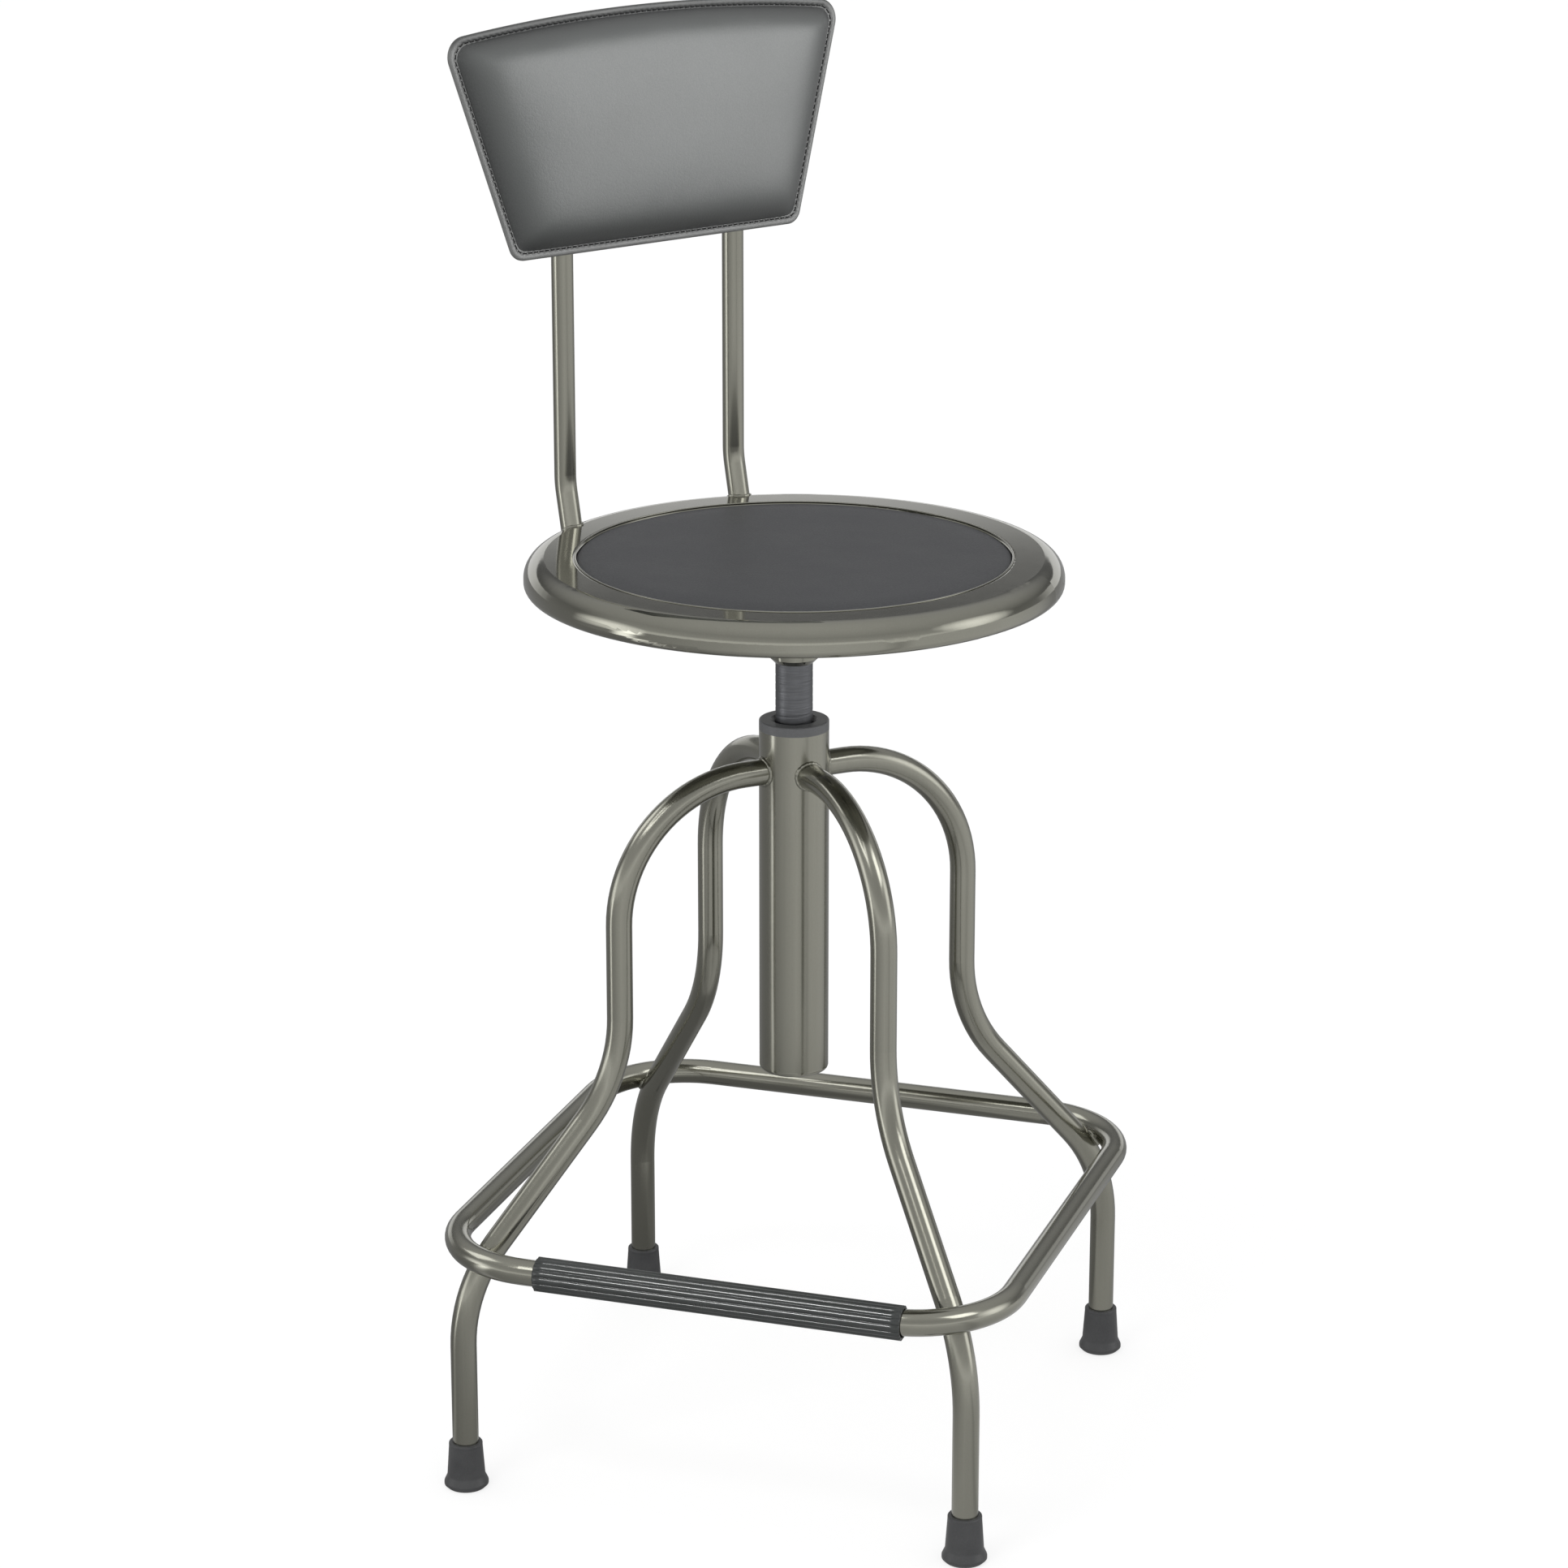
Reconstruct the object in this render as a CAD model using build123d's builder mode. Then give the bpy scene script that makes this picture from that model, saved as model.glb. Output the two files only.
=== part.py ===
from build123d import *
from math import cos, radians, sin, tan
import os

# Drafting chair: screw-lift stool with a foot ring and a padded back.
# Millimetres. Z is up, the floor is Z = 0, and the column stands on the Z axis.
# The foot ring's tread side faces -Y. The seat is stored turned about Z by SEAT_TURN.

os.makedirs("parts", exist_ok=True)

# ---------------------------------------------------------------- driving dimensions
COLUMN_R = 25.4                 # 2 in column
COLUMN_WALL = 2.0
COLUMN_BOTTOM = 281.0
COLUMN_TOP = 542.0
CAP_DISC = 4.0
CAP_SPIGOT = 8.0
CAP_EDGE = 3.0

COLLAR_H = 7.0
COLLAR_SPIGOT = 8.0
COLLAR_BORE_R = 14.0
COLLAR_CHAMFER = 3.0
COLLAR_EDGE = 1.2

SPINDLE_R = 13.5
SPINDLE_CLEARANCE = 0.05        # radial, between the spindle's crests and the nut
NUT_H = 40.0
NUT_CHAMFER = 1.0
SHOULDER_Z = 402.0              # the spindle's full diameter starts here
SPIGOT_R = 8.0                  # the turned-down end that carries the guide bush
BUSH_H = 20.0
BUSH_CHAMFER = 1.5
BUSH_CLEARANCE = 0.075          # radial, between the bush and the column's bore
BUSH_END_PLAY = 0.2
RETAINER_R = 15.0
RETAINER_T = 2.0
RETAINER_BOLT_R = 4.0
RETAINER_BOLT_LENGTH = 20.0     # depth of its tapped hole
RETAINER_BOLT_SHORT = 1.0       # the bolt stops this far from the hole's end
RETAINER_HEAD_H = 5.3
RETAINER_HEAD_R = 7.5

LEG_R = 9.525                   # 3/4 in tube
LEG_WALL = 1.6
LEG_TOP_Z = 512.2
LEG_NECK_R = 140.5              # radius at which the legs drop straight down
LEG_SHOULDER_Z = 299.0          # where the drop turns outward
LEG_KNEE_Z = 154.3              # where the leg turns down to the floor
LEG_FOOT_R = 268.0              # radius of the feet
LEG_TOP_BEND = 100.0
LEG_LOWER_BEND = 115.0
LEG_END_Z = 8.5
LEG_ANGLES = {"front_left": -135, "front_right": -45, "back_right": 45, "back_left": 135}

TIP_H = 35.0
TIP_FLOOR = 7.0
TIP_TOP_R = 12.3
TIP_LOWER_R = 13.9
TIP_BASE_R = 16.2
TIP_BEVEL = 2.0                 # at the floor
TIP_BASE_Z = 4.0                # top of the base's straight edge
TIP_FLARE_Z = 9.0               # where the base meets the sleeve
TIP_LIP_H = 3.0                 # straight part at the sleeve's mouth
TIP_BASE_ROUND = 2.0
TIP_FLARE_ROUND = 4.0
TIP_LIP_ROUND = 1.2
TIP_WASHER_HOLE_R = 3.2
TIP_WASHER_T = LEG_END_Z - TIP_FLOOR
FIT_GAP = 0.05                  # rubber sleeves on tubes

RING_HALF = 208.5               # foot ring, to the tube's centre line
RING_Z = 183.75
RING_CORNER = 73.0
TREAD_START = -124.0
TREAD_END = 149.0
TREAD_R = 12.6
TREAD_FLUTES = 14
TREAD_FLUTE_R = 1.3

SEAT_TURN = 55.5                # degrees about Z at which the seat is stored
SEAT_TOP = 671.0
PAN_R = 193.3
PAN_SHEET = 1.5
PAN_FLOOR_Z = 655.0
PAN_BOTTOM = 647.5
PAN_LIP_R = 185.0
RECESS_R = 155.9                # inner radius of the recess wall, at the sheet's middle
RECESS_EDGE = 2.4
PAN_FLOOR_BEND = 3.0
PAN_EDGE_BEND = 14.0
PAN_CURL_BEND = 5.5

PAD_TOP = 670.2
PAD_R = 153.9
COVER_T = 1.2
PAD_EDGE = 1.8
SEAT_BOARD_T = 8.0
SEAT_BOARD_EDGE = 3.0
COVER_HEM = 0.2                 # the cover's skirt stops this far above the pan's inner bend

HUB_BOTTOM = 592.0
HUB_LIP_R = 14.2
HUB_NECK_R = 18.0
HUB_TOP_R = 28.0
PLATE_SIDE = 112.0
PLATE_T = 4.0
PLATE_CORNER = 14.0
PLATE_BOLT_SPACING = 80.0
PLATE_BOLT_R = 3.0
PLATE_BOLT_HEAD = 4.0
PLATE_BOLT_HEAD_R = 5.8
TNUT_FLANGE_R = 9.0
TNUT_FLANGE_T = 1.2
TNUT_BARREL_R = 4.0

POST_R = 8.0
POST_WALL = 1.5
POST_HALF_SPACING = 76.4
POST_FOOT_Y = 169.0             # in the seat's own axes, +Y to the back
POST_KICK_H = 30.0
POST_KICK_BEND = 60.0
POST_TOP_BEND = 60.0
POST_IN_PAD = 100.0             # length of post inside the backrest
POST_BEHIND = 12.5              # from the backrest's seam plane to the post's axis

BACK_LEAN = 4.6                 # degrees
BACK_BOTTOM_Z = 871.6
BACK_BOTTOM_Y = 163.2
BACK_HALF_BOTTOM = 126.9
BACK_HALF_TOP = 175.6
BACK_H = 171.8
BACK_ARCH = 11.8
BACK_CORNER = 12.0
BACK_TOP_CORNER_EXTRA = 3.0     # the upper corners are rounded this much more
BACK_CROWN_CORNER = 9.0
BACK_FLANGE = 6.5
BACK_SKIN = 1.5
BACK_FRONT_DEPTH = 26.0
BACK_REAR_DEPTH = 26.0
BACK_TAPER = 35.0
BACK_EDGE_ROUND = 8.0
BACK_BOARD_T = 9.0
BACK_BOARD_INSET = 13.0
BACK_SCREW_R = 2.5
BACK_SCREW_HEAD_R = 4.5
BACK_SCREW_HEAD_H = 3.0
BACK_SCREW_HEIGHTS = (35.0, 80.0)
BACK_TNUT_R = 8.0
BACK_TNUT_T = 1.2
BACK_TNUT_BARREL_R = 3.5
POST_HOLE_GAP = 0.4             # radial, between a post and the covers and foam

# ---------------------------------------------------------------- worked-out values
COLUMN_BORE = COLUMN_R - COLUMN_WALL
NUT_TOP = COLUMN_TOP - COLLAR_SPIGOT
BUSH_TOP = SHOULDER_Z - BUSH_END_PLAY
BUSH_BOTTOM = BUSH_TOP - BUSH_H
SPIGOT_BOTTOM = BUSH_BOTTOM - BUSH_END_PLAY
PLATE_TOP = PAN_FLOOR_Z - PAN_SHEET
PLATE_BOTTOM = PLATE_TOP - PLATE_T
BOARD_TOP = PAN_FLOOR_Z + SEAT_BOARD_T
FOAM_TOP = PAD_TOP - COVER_T
PAD_INNER_R = PAD_R - COVER_T
COVER_LOW = PAN_FLOOR_Z + PAN_FLOOR_BEND + COVER_HEM
KICK_RUN = BACK_BOTTOM_Y + POST_BEHIND / cos(radians(BACK_LEAN)) - POST_FOOT_Y
POST_Y = POST_FOOT_Y + KICK_RUN
TREAD_LENGTH = TREAD_END - TREAD_START

# ---------------------------------------------------------------- planes
SEAT = Plane(
    origin=(0, 0, 0),
    x_dir=(cos(radians(SEAT_TURN)), sin(radians(SEAT_TURN)), 0),
    z_dir=(0, 0, 1),
)
FORWARD_UP = SEAT.y_dir * -cos(radians(BACK_LEAN)) + Vector(0, 0, sin(radians(BACK_LEAN)))
BACK = Plane(
    origin=SEAT.from_local_coords(Vector(0, BACK_BOTTOM_Y, BACK_BOTTOM_Z)),
    x_dir=SEAT.x_dir,
    z_dir=FORWARD_UP,
)
BACK_REVERSE = Plane(origin=BACK.origin, x_dir=-BACK.x_dir, z_dir=-BACK.z_dir)


def seat_level(height):
    """Horizontal plane at a height, turned with the seat."""
    return Plane(origin=(0, 0, height), x_dir=SEAT.x_dir, z_dir=(0, 0, 1))


def leg_plane(angle):
    """Upright plane through the column's axis; its X runs outward along a leg."""
    out = Vector(cos(radians(angle)), sin(radians(angle)), 0)
    return Plane(origin=(0, 0, 0), x_dir=out, z_dir=out.cross(Vector(0, 0, 1)))


def post_plane(side):
    """Upright plane of one back post; its X is the seat's backward direction."""
    origin = SEAT.from_local_coords(Vector(side * POST_HALF_SPACING, 0, 0))
    return Plane(origin=origin, x_dir=SEAT.y_dir, z_dir=SEAT.x_dir)


def sweep_round(path, radius, mode=Mode.ADD):
    """Sweep a disc of the given radius along a path."""
    with BuildSketch(Plane(origin=path @ 0, z_dir=path % 0)) as section:
        Circle(radius)
    sweep(section.sketch, path=path, mode=mode)


def finish(part, name):
    """Label a finished piece and write it out."""
    part.label = name
    export_step(part, "parts/" + name + ".step")


# ---------------------------------------------------------------- column and lift
with BuildPart() as centre_column:
    with BuildSketch(Plane.XY.offset(COLUMN_BOTTOM + CAP_DISC)):
        Circle(COLUMN_R)
        Circle(COLUMN_BORE, mode=Mode.SUBTRACT)
    extrude(amount=COLUMN_TOP - COLUMN_BOTTOM - CAP_DISC)
finish(centre_column.part, "centre_column")

with BuildPart() as column_end_cap:
    with BuildSketch(Plane.XY.offset(COLUMN_BOTTOM)):
        Circle(COLUMN_R)
    extrude(amount=CAP_DISC)
    fillet(column_end_cap.edges().group_by(Axis.Z)[0], radius=CAP_EDGE)
    with BuildSketch(Plane.XY.offset(COLUMN_BOTTOM + CAP_DISC)):
        Circle(COLUMN_BORE)
        Circle(COLUMN_BORE - COLUMN_WALL, mode=Mode.SUBTRACT)
    extrude(amount=CAP_SPIGOT)
finish(column_end_cap.part, "column_end_cap")

with BuildPart() as column_collar:
    with BuildSketch(Plane.XY.offset(COLUMN_TOP)):
        Circle(COLUMN_R)
    extrude(amount=COLLAR_H)
    fillet(column_collar.edges().group_by(Axis.Z)[-1], radius=COLLAR_EDGE)
    with BuildSketch(Plane.XY.offset(NUT_TOP)):
        Circle(COLUMN_BORE)
    extrude(amount=COLLAR_SPIGOT)
    with BuildSketch(Plane.XY.offset(NUT_TOP)):
        Circle(COLLAR_BORE_R)
    extrude(amount=COLLAR_SPIGOT + COLLAR_H, mode=Mode.SUBTRACT)
    bore_mouth = column_collar.edges().group_by(Axis.Z)[-1].sort_by(SortBy.RADIUS)[0]
    chamfer(bore_mouth, length=COLLAR_CHAMFER)
finish(column_collar.part, "column_collar")

with BuildPart() as lift_nut:
    with BuildSketch(Plane.XY.offset(NUT_TOP - NUT_H)):
        Circle(COLUMN_BORE)
        Circle(SPINDLE_R + SPINDLE_CLEARANCE, mode=Mode.SUBTRACT)
    extrude(amount=NUT_H)
    chamfer(lift_nut.edges().filter_by(GeomType.CIRCLE), length=NUT_CHAMFER)
finish(lift_nut.part, "lift_nut")

with BuildPart() as lift_spindle:
    with BuildSketch(Plane.XY.offset(SHOULDER_Z)):
        Circle(SPINDLE_R)
    extrude(amount=PLATE_BOTTOM - SHOULDER_Z)
    with BuildSketch(Plane.XY.offset(SPIGOT_BOTTOM)):
        Circle(SPIGOT_R)
    extrude(amount=SHOULDER_Z - SPIGOT_BOTTOM)
    with BuildSketch(Plane.XY.offset(SPIGOT_BOTTOM)):
        Circle(RETAINER_BOLT_R)
    extrude(amount=RETAINER_BOLT_LENGTH, mode=Mode.SUBTRACT)
finish(lift_spindle.part, "lift_spindle")

with BuildPart() as spindle_guide_bush:
    with BuildSketch(Plane.XY.offset(BUSH_BOTTOM)):
        Circle(COLUMN_BORE - BUSH_CLEARANCE)
        Circle(SPIGOT_R + SPINDLE_CLEARANCE, mode=Mode.SUBTRACT)
    extrude(amount=BUSH_H)
    rims = spindle_guide_bush.edges().filter_by(GeomType.CIRCLE).sort_by(SortBy.RADIUS)[-2:]
    chamfer(rims, length=BUSH_CHAMFER)
finish(spindle_guide_bush.part, "spindle_guide_bush")

with BuildPart() as guide_washer:
    with BuildSketch(Plane.XY.offset(SPIGOT_BOTTOM - RETAINER_T)):
        Circle(RETAINER_R)
        Circle(RETAINER_BOLT_R, mode=Mode.SUBTRACT)
    extrude(amount=RETAINER_T)
finish(guide_washer.part, "guide_washer")

with BuildPart() as guide_bolt:
    with BuildSketch(Plane.XY.offset(SPIGOT_BOTTOM - RETAINER_T - RETAINER_HEAD_H)):
        RegularPolygon(RETAINER_HEAD_R, 6)
    extrude(amount=RETAINER_HEAD_H)
    with BuildSketch(Plane.XY.offset(SPIGOT_BOTTOM - RETAINER_T)):
        Circle(RETAINER_BOLT_R)
    extrude(amount=RETAINER_T + RETAINER_BOLT_LENGTH - RETAINER_BOLT_SHORT)
finish(guide_bolt.part, "guide_bolt")

# ---------------------------------------------------------------- legs
leg_outers = []
for place, angle in LEG_ANGLES.items():
    with BuildPart() as leg:
        with BuildLine(leg_plane(angle)) as run:
            FilletPolyline(
                (COLUMN_R - LEG_R, LEG_TOP_Z),
                (LEG_NECK_R, LEG_TOP_Z),
                (LEG_NECK_R, LEG_SHOULDER_Z),
                (LEG_FOOT_R, LEG_KNEE_Z),
                (LEG_FOOT_R, LEG_END_Z),
                radius=[LEG_TOP_BEND, LEG_LOWER_BEND, LEG_LOWER_BEND],
            )
        sweep_round(run.wire(), LEG_R)
        outer = leg.part
        sweep_round(run.wire(), LEG_R - LEG_WALL, mode=Mode.SUBTRACT)
        with BuildSketch(Plane.XY.offset(COLUMN_BOTTOM)):
            Circle(COLUMN_R)
        extrude(amount=COLUMN_TOP - COLUMN_BOTTOM, mode=Mode.SUBTRACT)
    leg_outers.append(outer)
    finish(leg.part, "leg_" + place)

# ---------------------------------------------------------------- rubber foot tips
for place, angle in LEG_ANGLES.items():
    with BuildPart() as foot_tip:
        with BuildSketch(leg_plane(angle)) as profile:
            with BuildLine():
                Polyline(
                    (LEG_FOOT_R, 0),
                    (LEG_FOOT_R + TIP_BASE_R - TIP_BEVEL, 0),
                    (LEG_FOOT_R + TIP_BASE_R, TIP_BEVEL),
                    (LEG_FOOT_R + TIP_BASE_R, TIP_BASE_Z),
                    (LEG_FOOT_R + TIP_LOWER_R, TIP_FLARE_Z),
                    (LEG_FOOT_R + TIP_TOP_R, TIP_H - TIP_LIP_H),
                    (LEG_FOOT_R + TIP_TOP_R, TIP_H),
                    (LEG_FOOT_R + LEG_R + FIT_GAP, TIP_H),
                    (LEG_FOOT_R + LEG_R + FIT_GAP, TIP_FLOOR),
                    (LEG_FOOT_R, TIP_FLOOR),
                    close=True,
                )
            make_face()
        foot_axis = Axis(leg_plane(angle).from_local_coords((LEG_FOOT_R, 0, 0)), (0, 0, 1))
        revolve(axis=foot_axis)
        rims = foot_tip.edges().filter_by(GeomType.CIRCLE)
        fillet(rims.filter_by_position(Axis.Z, TIP_BASE_Z, TIP_BASE_Z), radius=TIP_BASE_ROUND)
        rims = foot_tip.edges().filter_by(GeomType.CIRCLE)
        fillet(rims.filter_by_position(Axis.Z, TIP_FLARE_Z, TIP_FLARE_Z), radius=TIP_FLARE_ROUND)
        fillet(foot_tip.edges().group_by(Axis.Z)[-1].sort_by(SortBy.RADIUS)[-1], radius=TIP_LIP_ROUND)
    finish(foot_tip.part, "foot_tip_" + place)

with BuildPart() as foot_washers:
    with BuildSketch(Plane.XY.offset(TIP_FLOOR)):
        with PolarLocations(LEG_FOOT_R, 4, start_angle=45):
            Circle(LEG_R)
            Circle(TIP_WASHER_HOLE_R, mode=Mode.SUBTRACT)
    extrude(amount=TIP_WASHER_T)
finish(foot_washers.part, "foot_washers")

# ---------------------------------------------------------------- foot ring and tread
with BuildPart() as foot_ring:
    with BuildLine(Plane.XY.offset(RING_Z)) as ring_run:
        FilletPolyline(
            (-RING_HALF, -RING_HALF),
            (RING_HALF, -RING_HALF),
            (RING_HALF, RING_HALF),
            (-RING_HALF, RING_HALF),
            radius=RING_CORNER,
            close=True,
        )
    sweep_round(ring_run.wire(), LEG_R)
    sweep_round(ring_run.wire(), LEG_R - LEG_WALL, mode=Mode.SUBTRACT)
    for outer in leg_outers:
        add(outer, mode=Mode.SUBTRACT)
finish(foot_ring.part, "foot_ring")

with BuildPart() as footrest_tread:
    with BuildSketch(Plane((TREAD_START, -RING_HALF, RING_Z), x_dir=(0, 1, 0), z_dir=(1, 0, 0))):
        Circle(TREAD_R)
        with PolarLocations(TREAD_R + TREAD_FLUTE_R / 2, TREAD_FLUTES):
            Circle(TREAD_FLUTE_R, mode=Mode.SUBTRACT)
    extrude(amount=TREAD_LENGTH)
    sweep_round(ring_run.wire(), LEG_R + FIT_GAP, mode=Mode.SUBTRACT)
finish(footrest_tread.part, "footrest_tread")

# ---------------------------------------------------------------- hub, plate, pan, pad
with BuildPart() as seat_hub:
    with BuildSketch(Plane.XZ):
        with BuildLine():
            Polyline(
                (SPINDLE_R, HUB_BOTTOM),
                (HUB_LIP_R, HUB_BOTTOM),
                (HUB_NECK_R, HUB_BOTTOM + HUB_NECK_R - HUB_LIP_R),
                (HUB_TOP_R, PLATE_BOTTOM),
                (SPINDLE_R, PLATE_BOTTOM),
                close=True,
            )
        make_face()
    revolve(axis=Axis.Z)
finish(seat_hub.part, "seat_hub")

with BuildPart() as seat_mount_plate:
    with BuildSketch(seat_level(PLATE_BOTTOM)):
        RectangleRounded(PLATE_SIDE, PLATE_SIDE, PLATE_CORNER)
        with GridLocations(PLATE_BOLT_SPACING, PLATE_BOLT_SPACING, 2, 2):
            Circle(PLATE_BOLT_R, mode=Mode.SUBTRACT)
    extrude(amount=PLATE_T)
finish(seat_mount_plate.part, "seat_mount_plate")

with BuildPart() as seat_bolts:
    with BuildSketch(seat_level(PLATE_BOTTOM)):
        with GridLocations(PLATE_BOLT_SPACING, PLATE_BOLT_SPACING, 2, 2):
            Circle(PLATE_BOLT_R)
    extrude(amount=BOARD_TOP - TNUT_FLANGE_T - PLATE_BOTTOM)
    with BuildSketch(seat_level(PLATE_BOTTOM - PLATE_BOLT_HEAD)):
        with GridLocations(PLATE_BOLT_SPACING, PLATE_BOLT_SPACING, 2, 2):
            RegularPolygon(PLATE_BOLT_HEAD_R, 6)
    extrude(amount=PLATE_BOLT_HEAD)
finish(seat_bolts.part, "seat_bolts")

with BuildPart() as seat_t_nuts:
    with BuildSketch(seat_level(BOARD_TOP - TNUT_FLANGE_T)):
        with GridLocations(PLATE_BOLT_SPACING, PLATE_BOLT_SPACING, 2, 2):
            Circle(TNUT_FLANGE_R)
    extrude(amount=TNUT_FLANGE_T)
    with BuildSketch(seat_level(PAN_FLOOR_Z)):
        with GridLocations(PLATE_BOLT_SPACING, PLATE_BOLT_SPACING, 2, 2):
            Circle(TNUT_BARREL_R)
            Circle(PLATE_BOLT_R, mode=Mode.SUBTRACT)
    extrude(amount=SEAT_BOARD_T - TNUT_FLANGE_T)
finish(seat_t_nuts.part, "seat_t_nuts")

with BuildPart() as pan_envelope:
    with BuildSketch(seat_level(SEAT_TOP - POST_KICK_H - POST_R)):
        Circle(PAN_R)
    extrude(amount=POST_KICK_H + POST_R)
    fillet(pan_envelope.edges().group_by(Axis.Z)[-1], radius=PAN_EDGE_BEND + PAN_SHEET / 2)

with BuildPart() as seat_pan:
    with BuildSketch(Plane.XZ):
        with BuildLine() as sheet:
            FilletPolyline(
                (0, PAN_FLOOR_Z - PAN_SHEET / 2),
                (RECESS_R, PAN_FLOOR_Z - PAN_SHEET / 2),
                (RECESS_R, SEAT_TOP - PAN_SHEET / 2),
                (PAN_R - PAN_SHEET / 2, SEAT_TOP - PAN_SHEET / 2),
                (PAN_R - PAN_SHEET / 2, PAN_BOTTOM + PAN_SHEET / 2),
                (PAN_LIP_R, PAN_BOTTOM + PAN_SHEET / 2),
                radius=[PAN_FLOOR_BEND, RECESS_EDGE, PAN_EDGE_BEND, PAN_CURL_BEND],
            )
        trace(line_width=PAN_SHEET)
    revolve(axis=Axis.Z)
    with BuildSketch(seat_level(PAN_FLOOR_Z)):
        with GridLocations(PLATE_BOLT_SPACING, PLATE_BOLT_SPACING, 2, 2):
            Circle(PLATE_BOLT_R)
    extrude(amount=-PAN_SHEET, mode=Mode.SUBTRACT)
finish(seat_pan.part, "seat_pan")

with BuildPart() as seat_board:
    with BuildSketch(seat_level(PAN_FLOOR_Z)):
        Circle(PAD_INNER_R)
    extrude(amount=SEAT_BOARD_T)
    fillet(seat_board.edges().group_by(Axis.Z)[0], radius=SEAT_BOARD_EDGE)
    add(seat_t_nuts.part, mode=Mode.SUBTRACT)
    add(seat_bolts.part, mode=Mode.SUBTRACT)
finish(seat_board.part, "seat_board")

with BuildPart() as seat_foam:
    with BuildSketch(seat_level(BOARD_TOP)):
        Circle(PAD_INNER_R)
    extrude(amount=FOAM_TOP - BOARD_TOP)
finish(seat_foam.part, "seat_foam")

with BuildPart() as seat_cover:
    with BuildSketch(seat_level(COVER_LOW)):
        Circle(PAD_R)
    extrude(amount=PAD_TOP - COVER_LOW)
    fillet(seat_cover.edges().group_by(Axis.Z)[-1], radius=PAD_EDGE)
    with BuildSketch(seat_level(PAN_FLOOR_Z)):
        Circle(PAD_INNER_R)
    extrude(amount=FOAM_TOP - PAN_FLOOR_Z, mode=Mode.SUBTRACT)
finish(seat_cover.part, "seat_cover")

# ---------------------------------------------------------------- back posts
post_envelopes = []
for side, place in ((-1, "left"), (1, "right")):
    with BuildPart() as post:
        with BuildLine(post_plane(side)) as run:
            FilletPolyline(
                (POST_FOOT_Y - KICK_RUN, SEAT_TOP - POST_KICK_H),
                (POST_Y, SEAT_TOP + POST_KICK_H),
                (POST_Y, BACK_BOTTOM_Z),
                (
                    POST_Y + POST_IN_PAD * sin(radians(BACK_LEAN)),
                    BACK_BOTTOM_Z + POST_IN_PAD * cos(radians(BACK_LEAN)),
                ),
                radius=[POST_KICK_BEND, POST_TOP_BEND],
            )
        sweep_round(run.wire(), POST_R)
        sweep_round(run.wire(), POST_R - POST_WALL, mode=Mode.SUBTRACT)
        add(pan_envelope.part, mode=Mode.SUBTRACT)
        with BuildSketch(BACK.offset(-POST_BEHIND - POST_R)):
            for height in BACK_SCREW_HEIGHTS:
                with Locations((side * POST_HALF_SPACING, height)):
                    Circle(BACK_SCREW_R)
        extrude(amount=2 * POST_R, mode=Mode.SUBTRACT)
    finish(post.part, "back_post_" + place)
    with BuildPart() as envelope:
        sweep_round(run.wire(), POST_R + POST_HOLE_GAP)
    post_envelopes.append(envelope.part)


# ---------------------------------------------------------------- backrest
def back_outline(plane, inset, corner):
    """The backrest's outline on a plane, drawn in by an inset, with rounded corners."""
    with BuildSketch(plane) as outline:
        with BuildLine():
            Line((-BACK_HALF_BOTTOM, 0), (BACK_HALF_BOTTOM, 0))
            Line((BACK_HALF_BOTTOM, 0), (BACK_HALF_TOP, BACK_H - BACK_ARCH))
            ThreePointArc(
                (BACK_HALF_TOP, BACK_H - BACK_ARCH),
                (0, BACK_H),
                (-BACK_HALF_TOP, BACK_H - BACK_ARCH),
            )
            Line((-BACK_HALF_TOP, BACK_H - BACK_ARCH), (-BACK_HALF_BOTTOM, 0))
        make_face()
        if inset > 0:
            offset(amount=-inset, kind=Kind.INTERSECTION)
        fillet(outline.vertices().group_by(Axis.Y)[0], radius=corner)
        fillet(outline.vertices().group_by(Axis.Y)[-1], radius=corner + BACK_TOP_CORNER_EXTRA)
    return outline.sketch


def back_crown(plane, inset, depth):
    """A pad volume standing on a plane: sloping sides and a rounded far edge."""
    with BuildPart() as crown:
        foot = back_outline(plane, inset, BACK_CROWN_CORNER)
        far_inset = inset + depth * tan(radians(BACK_TAPER))
        far = back_outline(plane.offset(depth), far_inset, BACK_CROWN_CORNER)
        loft([foot, far], ruled=True)
        far_face = crown.faces().sort_by(Axis(plane.origin, plane.z_dir))[-1]
        fillet(far_face.edges(), radius=BACK_EDGE_ROUND)
    return crown.part


front_skin = back_crown(BACK, BACK_FLANGE, BACK_FRONT_DEPTH)
front_inside = back_crown(BACK, BACK_FLANGE + BACK_SKIN, BACK_FRONT_DEPTH - BACK_SKIN)
rear_skin = back_crown(BACK_REVERSE, BACK_FLANGE, BACK_REAR_DEPTH)
rear_inside = back_crown(BACK_REVERSE, BACK_FLANGE + BACK_SKIN, BACK_REAR_DEPTH - BACK_SKIN)

with BuildPart() as back_t_nuts:
    with BuildSketch(BACK.offset(BACK_BOARD_T / 2 - BACK_TNUT_T)):
        for height in BACK_SCREW_HEIGHTS:
            with Locations((-POST_HALF_SPACING, height), (POST_HALF_SPACING, height)):
                Circle(BACK_TNUT_R)
    extrude(amount=BACK_TNUT_T)
    with BuildSketch(BACK.offset(-BACK_BOARD_T / 2)):
        for height in BACK_SCREW_HEIGHTS:
            with Locations((-POST_HALF_SPACING, height), (POST_HALF_SPACING, height)):
                Circle(BACK_TNUT_BARREL_R)
                Circle(BACK_SCREW_R, mode=Mode.SUBTRACT)
    extrude(amount=BACK_BOARD_T - BACK_TNUT_T)
finish(back_t_nuts.part, "back_t_nuts")

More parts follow.
